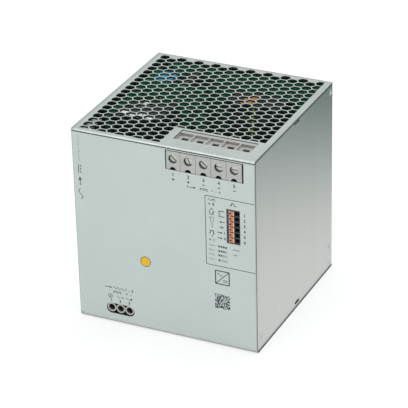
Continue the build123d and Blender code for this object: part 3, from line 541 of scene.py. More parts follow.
# %% [markdown]
# ## Printing on the front
# The foil is screen printed: a thin, slightly raised layer of dark ink. Every mark is a flat curve, given
# the thickness of the ink, turned into a mesh and laid on the foil. Flat curves take care of holes by
# themselves, because a loop inside a loop is cut out. The marks are plain numbers and common symbols.

# %% Ink helpers
INK = 0.03 * MM  # thickness of the printed layer
sunk = 0.01 * MM  # part of it that lies in the foil, so that no gap shows
stroke = 0.48  # width of a printed line, in millimetres
dark_marks, yellow_marks = [], []


def loop_curve(loops):
    """A flat curve of closed loops; a point is (from the left, from the top) in millimetres."""
    curve = bpy.data.curves.new("mark", "CURVE")
    curve.dimensions, curve.fill_mode = "2D", "BOTH"
    for points in loops:
        spline = curve.splines.new("POLY")
        spline.points.add(len(points) - 1)
        for point, (x, y) in zip(spline.points, points):
            point.co = (x * MM, -y * MM, 0, 1)
        spline.use_cyclic_u = True
    return curve


def print_curve(curve, marks, move=Matrix.Identity(4)):
    """Turns a flat curve into a mesh in the marks' list, after moving it in its plane."""
    curve.extrude = INK / 2
    temporary = new_object("mark", curve)
    mesh = plain_mesh(temporary)
    mesh.transform(move)
    marks.append(mesh)
    bpy.data.objects.remove(temporary)


def print_loops(loops, marks=dark_marks):
    print_curve(loop_curve(loops), marks)


def box_loop(x0, y0, x1, y1):
    return [(x0, y0), (x1, y0), (x1, y1), (x0, y1)]


def round_loop(x, y, radius, steps=28):
    return [(x + radius * math.cos(2 * math.pi * k / steps), y + radius * math.sin(2 * math.pi * k / steps))
            for k in range(steps)]


def line_loop(start, end, width=stroke):
    """A straight stroke from start to end."""
    along = Vector(end) - Vector(start)
    aside = Vector((-along.y, along.x)).normalized() * width / 2
    return [tuple(Vector(start) + aside), tuple(Vector(end) + aside),
            tuple(Vector(end) - aside), tuple(Vector(start) - aside)]


def print_line(start, end, width=stroke):
    print_loops([line_loop(start, end, width)])


def wave_loop(x, y, length, swing, width=stroke, steps=14):
    """One period of a wave, as used for alternating current."""
    upper, lower = [], []
    for k in range(steps + 1):
        px = x - length / 2 + length * k / steps
        py = y - swing * math.sin(2 * math.pi * k / steps)
        upper.append((px, py - width / 2))
        lower.append((px, py + width / 2))
    return upper + lower[::-1]


def print_wave(x, y, length, swing, width=stroke):
    print_loops([wave_loop(x, y, length, swing, width)])


def print_number(text, x, y, size):
    """A plain number or sign, centred on its place."""
    curve = bpy.data.curves.new("number", "FONT")
    curve.body, curve.size, curve.resolution_u = text, size * MM, 3
    curve.offset = 0.03 * size * MM  # a slightly bolder letter
    curve.space_character = 1.15
    curve.align_x, curve.align_y = "CENTER", "CENTER"
    print_curve(curve, dark_marks, Matrix.Translation((x * MM, -y * MM, 0)))


# %% Symbols that appear more than once
def print_plus(x, y, size):
    half = size / 2
    print_line((x - half, y), (x + half, y), 0.55)
    print_line((x, y - half), (x, y - 0.27), 0.55)
    print_line((x, y + 0.27), (x, y + half), 0.55)


def print_minus(x, y, size):
    print_line((x - size / 2, y), (x + size / 2, y), 0.55)


def print_direct_current(x, y, length):
    """A full line over a dashed one."""
    print_line((x - length / 2, y - 0.45), (x + length / 2, y - 0.45))
    dash = length / 5
    for k in (-2, 0, 2):
        print_line((x + (k - 0.6) * dash, y + 0.45), (x + (k + 0.6) * dash, y + 0.45))


def print_arrow(x, y, length, direction=1):
    """A small arrow that points to the right (1) or to the left (-1)."""
    tip, tail = x + direction * length / 2, x - direction * length / 2
    neck = tip - direction * 1.3
    print_line((tail, y), (neck, y))
    print_loops([[(neck, y - 0.8), (tip, y), (neck, y + 0.8)]])


def print_earth(x, y, radius):
    """A ring round three bars that get shorter, below a short stem."""
    print_loops([round_loop(x, y, radius), round_loop(x, y, radius - 0.3)])
    print_line((x, y - radius * 0.65), (x, y - 0.1), 0.3)
    for k in range(3):
        half = radius * (0.62 - 0.19 * k)
        print_line((x - half, y + 0.05 + 0.45 * k), (x + half, y + 0.05 + 0.45 * k), 0.27)


def on_front(name):
    """The middle of a piece: its distances from the case's left edge and from its top, in millimetres."""
    low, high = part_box(name)
    middle = (low + high) / 2
    return (middle.x - case_left) / MM, (case_top - middle.z) / MM


print("symbols ready")

# %% [markdown]
# ### Output terminals
# Each of the five terminals has its number and its sign below it. The two on the left are positive. Under
# them a line of symbols says what comes out: direct current, between two bars.

# %% Print below the output terminals
number_row, sign_row, symbol_row = 18.3, 21.4, 24.3
positive = 2  # of the terminals
output_x = [on_front(name)[0] for name in screws[:5]]
for number, x in enumerate(output_x, 1):
    print_number(str(number), x, number_row, 3.0)
    (print_plus if number <= positive else print_minus)(x, sign_row, 1.8)
middle = sum(output_x) / len(output_x)
for side in (-1, 1):
    x = middle + side * 10.4
    print_line((x, symbol_row - 0.8), (x, symbol_row + 0.8))
print_arrow(middle - 7.2, symbol_row, 4.2)
print_direct_current(middle, symbol_row, 5.2)
print_number("+  -", middle + 6.6, symbol_row - 0.1, 2.0)

# %% [markdown]
# ### The field round the signal connector
# A thin line frames the field and runs off the right edge. On the left is the voltage setting: a wedge
# between the two arrow buttons, from the most to the least. Beside the connector stand the numbers of its
# six ways and small pictograms for what they carry.

# %% Frame and wedge
field_left, field_upper, field_lower = 87.7, 27.8, 73.8
field_right = (case_right - case_left) / MM - 0.6
rule = 0.42  # width of the frame's line
print_line((field_left - rule / 2, field_upper), (field_right, field_upper), rule)
print_line((field_left - rule / 2, field_lower), (field_right, field_lower), rule)
print_line((field_left, field_upper + rule / 2), (field_left, field_lower - rule / 2), rule)

column, upper_button = on_front("voltage_button_up")
lower_button = on_front("voltage_button_down")[1]


def arrow_loop(level, direction, grow):
    """The outline of an arrow button, grown by this much all round."""
    half, tip, tail, stem = 1.25 + grow, 1.75 + grow * 1.3, -1.55 - grow, 0.62 + grow
    shoulder = 0.15 - grow
    points = [(-stem, tail), (stem, tail), (stem, shoulder), (half, shoulder), (0, tip), (-half, shoulder),
              (-stem, shoulder)]
    return [(column + x, level - direction * z) for x, z in points]


for level, direction in ((upper_button, 1), (lower_button, -1)):
    print_loops([arrow_loop(level, direction, 0.62), arrow_loop(level, direction, 0.27)])
wedge_top, wedge_tip, half = 41.4, 49.0, 1.4
inset = 0.32  # width of the wedge's line
print_loops([[(column - half, wedge_top), (column + half, wedge_top), (column + 0.45, wedge_tip)],
             [(column - half + 1.25 * inset, wedge_top + inset), (column + half - inset, wedge_top + inset),
              (column + 0.4, wedge_tip - 2.4 * inset)]])
heading_row = 30.0
print_wave(column - 1.1, heading_row, 2.2, 0.5)
print_direct_current(column + 1.4, heading_row, 2.2)
print_number("+ 9", column - 0.1, 33.1, 2.7)
print_number("+ 1", column - 0.1, 56.9, 2.7)

# %% Numbers and pictograms of the signal connector
way_levels = [on_front(name)[1] for name in levers]
for number, y in enumerate(way_levels, 1):
    print_number(str(number), 113.0, y, 2.8)
pulse = [(103.6, 31.4), (104.8, 31.4), (104.8, 29.9), (106.4, 29.9), (106.4, 31.4), (107.8, 31.4)]
for start, end in zip(pulse, pulse[1:]):
    print_line(start, end)

contact_x = 98.6  # a switch contact joins the first two ways
print_line((contact_x - 2.2, way_levels[0]), (contact_x + 1.4, way_levels[0]))
print_line((contact_x - 2.2, way_levels[1]), (contact_x + 1.4, way_levels[1]))
print_line((contact_x - 2.3, way_levels[0] + 0.1), (contact_x - 1.3, way_levels[1] - 0.8))
print_loops([round_loop(contact_x - 2.3, way_levels[1] - 0.55, 0.3, 14)])
print_arrow(98.4, way_levels[2], 3.6, -1)
for k in range(3):  # the common ground: three bars that get shorter
    half = 1.5 - 0.45 * k
    y = way_levels[3] - 0.5 + 0.5 * k
    print_line((98.2 - half, y), (98.2 + half, y), 0.3)
for strokes in (1, 2):  # outgoing signals, told apart by one and two strokes
    y = way_levels[3 + strokes]
    print_arrow(97.0, y, 3.4)
    for k in range(strokes):
        x = 99.8 + 0.9 * k
        print_line((x, y - 0.9), (x, y + 0.9), 0.42)
for row in range(2):  # chevrons, three over two
    base = 61.2 + 3.5 * row
    for k in range(3 - row):
        x = 106.0 + 1.4 * k
        print_loops([[(x - 1, base), (x, base - 1.0), (x + 1, base), (x, base - 0.4)]])

# %% Level bars beside the status lights
light_rows = (60.4, 63.5, 66.4, 69.7)
cells, border = 4, 0.2
for row, y in enumerate(light_rows):
    for cell in range(cells):
        x = 95.6 + cell * 1.55
        loops = [box_loop(x, y - 0.62, x + 1.15, y + 0.62)]
        if cell >= cells - row:  # an empty cell keeps only its border
            loops.append(box_loop(x + border, y - 0.62 + border, x + 1.15 - border, y + 0.62 - border))
        print_loops(loops)
print(len(dark_marks), "marks so far")

# %% [markdown]
# ### Input terminals and the signs lower down
# The three input terminals carry numbers, the earth sign, and the signs of the two supply lines. Above
# them two short lines of symbols say that both kinds of current may come in. Beside them, on the right,
# stand a converter sign, which is a square cut by a diagonal, and a square of random dots.

# %% Print above the input terminals
upper_row, lower_row, sign_row, number_row = 104.7, 107.6, 110.8, 113.7
input_x = [on_front(name)[0] for name in screws[5:]]
for number, x in enumerate(input_x, 1):
    print_number(str(number), x, number_row, 2.7)
print_earth(input_x[0] - 0.6, sign_row, 1.6)
print_wave(input_x[1] - 1.1, sign_row, 2.2, 0.6)
print_minus(input_x[1] + 1.5, sign_row, 1.7)
print_wave(input_x[2] - 1.1, sign_row, 2.2, 0.6)
print_plus(input_x[2] + 1.5, sign_row, 1.9)
print_arrow(20.4, upper_row, 4.8)
for k in range(3):
    print_wave(24.9 + 2.6 * k, upper_row, 2.4, 0.7, 0.55)
print_number("1 - 3", 34.6, upper_row, 2.6)
print_direct_current(26.4, lower_row, 5.6)
print_number("+  -", 34.2, lower_row, 2.6)

# %% Converter sign, dot square, round mark
sign_x, sign_y, sign_half = 97.9, 81.6, 4.85
corner, border = 0.7, 0.75
inner = sign_half - border


def rounded_loop(x, y, half, radius):
    """A square with rounded corners."""
    points, steps = [], 5
    for quarter in range(4):
        cx = x + (half - radius) * (1 if quarter in (0, 3) else -1)
        cy = y + (half - radius) * (1 if quarter in (0, 1) else -1)
        for k in range(steps + 1):
            angle = math.pi / 2 * (quarter + k / steps)
            points.append((cx + radius * math.cos(angle), cy + radius * math.sin(angle)))
    return points


slant = 0.35  # half of the diagonal's width, measured along a side
print_loops([rounded_loop(sign_x, sign_y, sign_half, corner),
             [(sign_x - inner, sign_y + inner - slant), (sign_x - inner, sign_y - inner),
              (sign_x + inner - slant, sign_y - inner)],
             [(sign_x + inner, sign_y - inner + slant), (sign_x + inner, sign_y + inner),
              (sign_x - inner + slant, sign_y + inner)]])
print_wave(sign_x - 1.75, sign_y - 1.9, 3.2, 0.8, 0.6)
print_line((sign_x + 0.5, sign_y + 1.6), (sign_x + 3.3, sign_y + 1.6), 0.5)
for k in range(3):
    print_line((sign_x + 0.5 + k * 1.05, sign_y + 2.7), (sign_x + 1.2 + k * 1.05, sign_y + 2.7), 0.5)

dot_x, dot_y, dot_radius = 46.7, 81.5, 3.55
print_loops([round_loop(dot_x, dot_y, dot_radius, 40), round_loop(dot_x, dot_y, dot_radius - 0.4, 40)])
print_loops([round_loop(dot_x, dot_y, dot_radius - 0.4, 40)], yellow_marks)

# %% Strip of symbols that runs up the left edge
strip_x = 4.5
print_loops([[(x, y) for y, x in wave_loop(43.5, strip_x, 7.0, 1.2, 0.55, 24)]])  # a wave on end
print_line((strip_x, 37.6), (strip_x, 34.2), 0.5)
print_loops([[(strip_x - 1.2, 34.2), (strip_x, 31.6), (strip_x + 1.2, 34.2)]])
print_line((strip_x - 0.7, 29.4), (strip_x - 0.7, 23.6), 0.5)
for k in range(3):
    y = 29.4 - 2.1 * k
    print_line((strip_x + 0.8, y), (strip_x + 0.8, y - 1.6), 0.5)
for k in range(12):
    half = 0.45 if k % 4 else 0.75
    y = 20.6 - 1.45 * k
    print_line((strip_x - half, y), (strip_x + half, y), 0.24)

# %% [markdown]
# ### The dot square
# A square of small dots repeats one simple thing many times, so Geometry Nodes make it: a grid of points,
# a seeded choice among them, and a small tile on each point that was chosen. The tree ends by making the
# tiles real and giving them their ink.

# %% Helper that turns a Geometry Nodes tree into a plain mesh
def mesh_from_tree(name, tree, values):
    """Runs a Geometry Nodes tree on an empty mesh and returns the result as a plain mesh object."""
    carrier = new_object(name, bpy.data.meshes.new(name))
    modifier = carrier.modifiers.new("nodes", "NODES")
    modifier.node_group = tree
    for item in tree.interface.items_tree:
        if item.in_out == "INPUT" and item.name in values:
            modifier[item.identifier] = values[item.name]
    mesh = plain_mesh(carrier)
    carrier.modifiers.remove(modifier)
    carrier.data = mesh
    return carrier


def ink(name, red, green, blue):
    """A screen-printed ink: even, slightly glossy, a little uneven at its surface."""
    uneven = 0.93
    return finish(name, (red, green, blue), (red * uneven, green * uneven, blue * uneven), patches=900.0,
                  grains=4000.0, relief=0.004, roughness=0.42, spread=0.1)


dark_ink = ink("ink_dark", 62, 70, 72)
yellow_ink = ink("ink_yellow", 236, 190, 24)

# %% Tree: tiles on chosen points of a square grid
CHOSEN = 3  # the yes-or-no output of a Random Value node
tiles, given, made = new_group(
    "random_tiles", "GeometryNodeTree",
    [("Side", "float"), ("Points", "int"), ("Share", "float"), ("Seed", "int"), ("Thickness", "float"),
     ("Material", "material")], [("Geometry", "geometry")])
lattice = output_of(tiles, "GeometryNodeMeshGrid", {
    "Size X": given["Side"], "Size Y": given["Side"], "Vertices X": given["Points"],
    "Vertices Y": given["Points"]}, "Mesh")
points = output_of(tiles, "GeometryNodeMeshToPoints", {"Mesh": lattice})
choice = output_of(tiles, "FunctionNodeRandomValue", {"Probability": given["Share"], "Seed": given["Seed"]},
                   CHOSEN, data_type="BOOLEAN")
pitch = calc(tiles, "DIVIDE", given["Side"], calc(tiles, "SUBTRACT", given["Points"], 1.0))
size = output_of(tiles, "ShaderNodeCombineXYZ", {"X": pitch, "Y": pitch, "Z": given["Thickness"]})
tile = output_of(tiles, "GeometryNodeMeshCube", {"Size": size}, "Mesh")
placed = output_of(tiles, "GeometryNodeInstanceOnPoints", {"Points": points, "Selection": choice,
                                                           "Instance": tile})
real = output_of(tiles, "GeometryNodeRealizeInstances", {0: placed})
inked = output_of(tiles, "GeometryNodeSetMaterial", {"Geometry": real, "Material": given["Material"]})
tiles.links.new(inked, made["Geometry"])

dots = mesh_from_tree("dot_square_print", tiles, {
    "Side": 9.4 * MM, "Points": 19, "Share": 0.57, "Seed": 11, "Thickness": INK, "Material": dark_ink})
dots.data.transform(Matrix.Translation((97.75 * MM, -98.1 * MM, 0)))
print("dot square:", len(dots.data.polygons), "faces")

# %% Lay the ink on the foil
to_front = Matrix(((1, 0, 0, case_left), (0, 0, -1, foil_face + sunk - INK / 2), (0, 1, 0, case_top),
                   (0, 0, 0, 1)))


def lay_print(name, marks, material):
    """Joins the marks of one ink and lays them on the foil."""
    gathered = bmesh.new()
    for mesh in marks:
        gathered.from_mesh(mesh)
        bpy.data.meshes.remove(mesh)
    bmesh.ops.remove_doubles(gathered, verts=gathered.verts, dist=1e-7)
    bmesh.ops.recalc_face_normals(gathered, faces=gathered.faces)
    mesh = bpy.data.meshes.new(name)
    gathered.to_mesh(mesh)
    gathered.free()
    mesh.transform(to_front)
    mesh.materials.append(material)
    return new_object(name, mesh)


dots.data.transform(to_front)
front_print = lay_print("front_print", dark_marks, dark_ink)
dot_print = lay_print("round_mark_print", yellow_marks, yellow_ink)
for piece in (front_print, dot_print, dots):
    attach(piece, "root")
print("front print:", len(front_print.data.polygons), "faces")

# %% [markdown]
# ## Wire on the ring cores
# Two chokes are rings of powdered iron with thick enamelled wire wound round them. In the model they are
# plain rings of the right size. Here each becomes a painted core and a row of turns. A turn is a rounded
# rectangle swept with a round section, and Geometry Nodes set one at every step round the ring.

# %% Tree: turns of wire round a ring
winding, given, made = new_group(
    "ring_winding", "GeometryNodeTree",
    [("Ring Radius", "float"), ("Turn Width", "float"), ("Turn Height", "float"), ("Corner", "float"),
     ("Wire Radius", "float"), ("Turns", "int"), ("Material", "material")], [("Geometry", "geometry")])
outline = output_of(winding, "GeometryNodeCurvePrimitiveQuadrilateral", {
    "Width": given["Turn Width"], "Height": given["Turn Height"]})
softened = output_of(winding, "GeometryNodeFilletCurve", {
    "Curve": outline, "Radius": given["Corner"], "Count": 5}, mode="POLY")
section = output_of(winding, "GeometryNodeCurvePrimitiveCircle", {"Resolution": 8,
                                                                  "Radius": given["Wire Radius"]})
swept = output_of(winding, "GeometryNodeCurveToMesh", {"Curve": softened, "Profile Curve": section})
upright = output_of(winding, "GeometryNodeTransform", {"Geometry": swept, "Rotation": (math.pi / 2, 0, 0)})
ring = output_of(winding, "GeometryNodeMeshCircle", {"Vertices": given["Turns"],
                                                     "Radius": given["Ring Radius"]})
step_angle = calc(winding, "DIVIDE", 2 * math.pi, given["Turns"])
angle = calc(winding, "MULTIPLY", output_of(winding, "GeometryNodeInputIndex"), step_angle)
placed = output_of(winding, "GeometryNodeInstanceOnPoints", {
    "Points": ring, "Instance": upright,
    "Rotation": output_of(winding, "ShaderNodeCombineXYZ", {"Z": angle})})
real = output_of(winding, "GeometryNodeRealizeInstances", {0: placed})
smooth = output_of(winding, "GeometryNodeSetShadeSmooth", {"Geometry": real})
coloured = output_of(winding, "GeometryNodeSetMaterial", {"Geometry": smooth, "Material": given["Material"]})
winding.links.new(coloured, made["Geometry"])


# %% Core and turns of one choke
def ring_core(name, middle_radius, half_width, half_height, material):
    """A ring of rounded rectangular section about the Z axis."""
    corner, steps, slices = half_width * 0.35, 4, 56
    profile = []
    for quarter in range(4):
        cx = (half_width - corner) * (1 if quarter in (0, 3) else -1)
        cz = (half_height - corner) * (1 if quarter in (0, 1) else -1)
        for k in range(steps + 1):
            angle = math.pi / 2 * (quarter + k / steps)
            profile.append((middle_radius + cx + corner * math.cos(angle), cz + corner * math.sin(angle)))
    points, faces, count = [], [], len(profile)
    for k in range(slices):
        turn = 2 * math.pi * k / slices
        points += [(radius * math.cos(turn), radius * math.sin(turn), z) for radius, z in profile]
        after = (k + 1) % slices
        for i in range(count):
            beside = (i + 1) % count
            faces.append((k * count + i, after * count + i, after * count + beside, k * count + beside))
    mesh = bpy.data.meshes.new(name)
    mesh.from_pydata(points, [], faces)
    mesh.polygons.foreach_set("use_smooth", [True] * len(faces))
    mesh.materials.append(material)
    return new_object(name, mesh)


def wind_choke(node, turns, wire, hole_radius, turn_to_axis, core_material):
    """Replaces a plain ring by a core and its turns of wire, inside the same outline."""
    low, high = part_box(node)
    sizes = sorted(high - low)
    height, outer = sizes[0], sizes[1] / 2
    middle_radius, width = (outer + hole_radius) / 2, outer - hole_radius
    place = Matrix.Translation((low + high) / 2) @ turn_to_axis
    turns_piece = mesh_from_tree(f"{node}_turns", winding, {
        "Ring Radius": middle_radius, "Turn Width": width - 2 * wire, "Turn Height": height - 2 * wire,
        "Corner": 2.6 * MM, "Wire Radius": wire, "Turns": turns, "Material": enamel})
    core_piece = ring_core(f"{node}_core", middle_radius, width / 2 - 2 * wire, height / 2 - 2 * wire,
                           core_material)
    for piece in (turns_piece, core_piece):
        piece.data.transform(place)
        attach(piece, "root")
    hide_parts(node)
    print(node, "has", turns, "turns,", len(turns_piece.data.polygons), "faces")


wind_choke("pfc_choke", 34, 0.62 * MM, 7.5 * MM, Matrix.Rotation(math.pi / 2, 4, "Y"), ring_paint)
wind_choke("output_choke", 22, 0.85 * MM, 7.0 * MM, Matrix.Rotation(math.pi / 2, 4, "X"), ring_paint)

# %% [markdown]
# ## What shows through the vents
# A few things inside catch the eye from above: white plugs on the relay, a copper shield on the transformer
# with the sleeved wire that earths it, and a milky insulating sheet by the left side. Their places are
# given from the left edge, behind the foremost plane and below the top, in millimetres.

# %% Helpers for loose pieces inside
def inside(left, depth, below):
    return Vector((case_left + left * MM, foremost + depth * MM, case_top - below * MM))


def mesh_of_shape(name, shape, material):
    """Ends the making of a shape: its mesh, with one material."""
    mesh = bpy.data.meshes.new(name)
    shape.to_mesh(mesh)
    shape.free()
    mesh.materials.append(material)
    return mesh


def soft_box(name, corner, opposite, radius, material):
    """A block between two corners, each (left, depth, below), with rounded edges."""
    start, end = inside(*corner), inside(*opposite)
    shape = bmesh.new()
    bmesh.ops.create_cube(shape, size=1.0)
    for point in shape.verts:
        point.co = (start + end) / 2 + Vector(a * b for a, b in zip(point.co, end - start))
    bmesh.ops.recalc_face_normals(shape, faces=shape.faces)
    bmesh.ops.bevel(shape, geom=shape.edges[:], offset=radius * MM, segments=3, affect="EDGES", profile=0.5)
    return add_piece(name, mesh_of_shape(name, shape, material))


def bare_wire(name, radius):
    """A curve with a round section, still without a route."""
    curve = bpy.data.curves.new(name, "CURVE")
    curve.dimensions, curve.use_fill_caps = "3D", True
    curve.bevel_depth, curve.bevel_resolution = radius, 3
    return curve


def mesh_of_curve(name, curve, material):
    """A curve as a plain mesh with one material."""
    carrier = new_object(name, curve)
    mesh = plain_mesh(carrier)
    bpy.data.objects.remove(carrier)
    mesh.materials.clear()
    mesh.materials.append(material)
    return mesh


def round_wire(name, route, radius, material):
    """A wire along a smooth curve through a few places inside the case."""
    curve = bare_wire(name, radius * MM)
    spline = curve.splines.new("NURBS")
    spline.points.add(len(route) - 1)
    for point, spot in zip(spline.points, route):
        point.co = (*inside(*spot), 1)
    spline.order_u, spline.use_endpoint_u, spline.resolution_u = 3, True, 8
    return add_piece(name, mesh_of_curve(name, curve, material))


def depth_of_top(name):
    """How far below the case's top a piece of the frame ends, in millimetres."""
    return (case_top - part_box(name)[1].z) / MM


# %% Plugs, shield, earth wire and sheet
plug_ends = ((16.2, 22.2), (22.8, 30.0), (30.6, 38.4))
for number, (start, end) in enumerate(plug_ends, 1):
    soft_box(f"relay_plug_{number}", (start, 32.2, 1.35), (end, 36.8, 2.7), 0.5, cap_white)
soft_box("relay_plug_strip", (15.8, 32.9, 2.5), (37.6, 35.9, depth_of_top("line_relay") + 0.8), 0.3,
         relay_case)
choke_top = depth_of_top("line_filter_choke")
soft_box("choke_cap", (17.0, 60.0, choke_top - 2.0), (21.0, 65.5, choke_top + 0.05), 0.5, cap_white)
core_top = depth_of_top("transformer_core")
soft_box("transformer_shield", (71.0, 88.5, core_top - 0.6), (80.5, 99.5, core_top + 0.02), 0.25,
         copper_tape)
wire_route = [(79.0, 90.0, core_top - 1.6), (81.5, 86.0, core_top - 2.2), (84.0, 79.0, core_top - 0.4),
              (87.0, 72.0, core_top + 1.0), (90.0, 64.0, core_top + 6.0), (91.0, 60.0, core_top + 14.0)]
round_wire("earth_wire", wire_route, 0.75, earth_wire)
soft_box("insulating_sheet", (3.2, 7.5, 3.0), (3.7, 23.5, 25.0), 0.08, milky_sheet)
soft_box("insulating_flap", (3.2, 7.5, 2.8), (9.0, 23.5, 3.2), 0.08, milky_sheet)

# %% [markdown]
# ## Tops of the capacitors
# A can capacitor has a bare metal top inside the rim of its sleeve, with a cross scored into it where the
# can opens if it fails. The model leaves that out, so one disc with its cross is made and set on each can.

# %% Can tops
def can_top(name, middle, axis, radius):
    """A thin metal disc that faces along axis, with the two lines of a cross as low raised bars."""
    shape = bmesh.new()
    bmesh.ops.create_cone(shape, cap_ends=True, segments=40, radius1=radius, radius2=radius * 0.96,
                          depth=0.3 * MM)
    for quarter in range(4):
        made_bar = bmesh.ops.create_cube(shape, size=1.0)
        turn = Matrix.Rotation(math.pi / 2 * quarter + math.pi / 4, 4, "Z")
        size = Matrix.Diagonal((radius * 0.62, 0.35 * MM, 0.12 * MM, 1))
        bmesh.ops.transform(shape, matrix=turn @ Matrix.Translation((radius * 0.42, 0, 0.2 * MM)) @ size,
                            verts=made_bar["verts"])
    mesh = mesh_of_shape(name, shape, can_metal)
    mesh.transform(Matrix.Translation(middle) @ axis.to_track_quat("Z", "Y").to_matrix().to_4x4())
    return add_piece(name, mesh)


low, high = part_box("bulk_capacitors")
reach = (high.z - low.z) / 2
top_share = {"bulk": 0.86, "output": 0.82}  # radius of a disc in that of its can
for number, share in enumerate((0.0, 0.51, 1.0), 1):
    y = low.y + reach + (high.y - low.y - 2 * reach) * share
    can_top(f"bulk_capacitor_top_{number}", Vector((high.x, y, low.z + reach)), Vector((1, 0, 0)),
            reach * top_share["bulk"])

low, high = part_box("output_capacitors")
small = 5.0 * MM  # radius of an output capacitor
count = 5  # in a row
for row, z in enumerate((low.z + small, high.z - small)):
    for column in range(count):
        x = low.x + small + (high.x - low.x - 2 * small) * column / (count - 1)
        can_top(f"output_capacitor_top_{row * count + column + 1}", Vector((x, high.y, z)),
                Vector((0, 1, 0)), small * top_share["output"])

# %% [markdown]
# ## Small parts on the boards
# The bare boards are filled with solder joints and chips. Geometry Nodes scatter both: points on a plate of
# the board's size, kept apart by a shortest distance, each with a domed joint or a small black block of
# varying size. The scatter is seeded, so it is the same each time.

# %% Tree: joints and chips on a plate
scatter, given, made = new_group(
    "board_scatter", "GeometryNodeTree",
    [("Width", "float"), ("Height", "float"), ("Spacing", "float"), ("Seed", "int"), ("Joint", "material"),
     ("Chip", "material")], [("Geometry", "geometry")])
plate = output_of(scatter, "GeometryNodeMeshGrid", {
    "Size X": given["Width"], "Size Y": given["Height"], "Vertices X": 2, "Vertices Y": 2}, "Mesh")
points = output_of(scatter, "GeometryNodeDistributePointsOnFaces", {
    "Mesh": plate, "Distance Min": given["Spacing"], "Density Max": 40000.0, "Seed": given["Seed"]},
    "Points", distribute_method="POISSON")
chosen = output_of(scatter, "FunctionNodeRandomValue", {"Probability": 0.7, "Seed": given["Seed"]}, CHOSEN,
                   data_type="BOOLEAN")
others = output_of(scatter, "FunctionNodeBooleanMath", {0: chosen}, operation="NOT")
joint = output_of(scatter, "GeometryNodeMeshUVSphere", {
    "Segments": 8, "Rings": 5, "Radius": 0.8 * MM}, "Mesh")
flat = output_of(scatter, "GeometryNodeTransform", {"Geometry": joint, "Scale": (1.0, 1.0, 0.7)})
soldered = output_of(scatter, "GeometryNodeSetMaterial", {"Geometry": flat, "Material": given["Joint"]})
chip = output_of(scatter, "GeometryNodeMeshCube", {"Size": Vector((3.2, 1.8, 1.4)) * MM}, "Mesh")
packed = output_of(scatter, "GeometryNodeSetMaterial", {"Geometry": chip, "Material": given["Chip"]})
scale = output_of(scatter, "FunctionNodeRandomValue", {"Min": (0.5, 0.6, 0.6), "Max": (1.7, 1.5, 1.2)},
                  data_type="FLOAT_VECTOR")
joints = output_of(scatter, "GeometryNodeInstanceOnPoints", {"Points": points, "Selection": chosen,
                                                             "Instance": soldered})
chips = output_of(scatter, "GeometryNodeInstanceOnPoints", {"Points": points, "Selection": others,
                                                            "Instance": packed, "Scale": scale})
both = add_node(scatter, "GeometryNodeJoinGeometry", {0: joints})
scatter.links.new(chips, both.inputs[0])
scatter.links.new(output_of(scatter, "GeometryNodeRealizeInstances", {0: both.outputs[0]}), made["Geometry"])


# %% Fill the boards
def fill_board(name, width, height, place, seed):
    """Scatters parts over a plate that place moves onto a board's free face."""
    parts = mesh_from_tree(name, scatter, {
        "Width": width, "Height": height, "Spacing": 3.4 * MM, "Seed": seed, "Joint": solder,
        "Chip": package_black})
    parts.data.transform(place)
    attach(parts, "root")
    print(name, "has", len(parts.data.polygons), "faces")


margin = 4 * MM
low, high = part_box("input_board")
fill_board("input_board_parts", high.z - low.z - 2 * margin, high.y - low.y - 26 * MM,
           Matrix.Translation((low.x, (low.y + high.y) / 2 + 9 * MM, (low.z + high.z) / 2))
           @ Matrix.Rotation(-math.pi / 2, 4, "Y"), 3)
for name, seed in (("main_board", 5), ("output_board", 8), ("control_board", 13)):
    low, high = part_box(name)
    fill_board(f"{name}_parts", high.x - low.x - 2 * margin, high.z - low.z - 2 * margin,
               Matrix.Translation(((low.x + high.x) / 2, low.y, (low.z + high.z) / 2))
               @ Matrix.Rotation(math.pi / 2, 4, "X"), seed)

# %% [markdown]
# ## The foot's spring
# The spring stands between the rail adapter and the foot's window, and gets shorter as the foot is pulled
# down. A wound wire with a closed turn at each end takes the place of the plain coil.

# %% Wind the spring
low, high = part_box("foot_spring")
wire, turns, steps = 0.25 * MM, 9, 24
coil_radius = (high.x - low.x) / 2 - wire
bottom, length = low.z + wire, high.z - low.z - 2 * wire
curve = bare_wire("foot_coil", wire)
spline = curve.splines.new("POLY")
spline.points.add(turns * steps)
closed = 0.75  # turns at each end that lie flat
for number, point in enumerate(spline.points):
    turned = number / steps
    risen = min(max((turned - closed) / (turns - 2 * closed), 0), 1)
    height = wire * 2 * min(turned, closed) + (length - 4 * wire * closed) * risen
    height += wire * 2 * (closed - min(turns - turned, closed))
    angle = 2 * math.pi * turned
    point.co = ((low.x + high.x) / 2 + coil_radius * math.cos(angle),
                (low.y + high.y) / 2 + coil_radius * math.sin(angle), bottom + height, 1)
coil = add_piece("foot_coil", mesh_of_curve("foot_coil", curve, spring_wire))
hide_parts("foot_spring")
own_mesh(coil)

# %% [markdown]
# ## Floor and light
# The unit stands on a pale floor that runs to white. The camera sees a mix of a glow and matt paint: the
# glow makes the floor white, and the paint keeps the unit's shadow. To reflections the floor glows only. It
# is white round the unit and falls off to a dim green-grey behind it and to its right, as at the edge of a
# studio table, which gives sheet metal its gradient. Under the unit it carries a painted shadow, which draws
# a thin line along the bottom. All other light meets plain matt paint.

# %% Floor
floor_mesh = bpy.data.meshes.new("floor")
far = 4.0
floor_level = case_bottom - 0.1 * MM
floor_mesh.from_pydata([(-far, -far, floor_level), (far, -far, floor_level), (far, far, floor_level),
                        (-far, far, floor_level)], [], [(0, 1, 2, 3)])
floor = new_object("floor", floor_mesh)

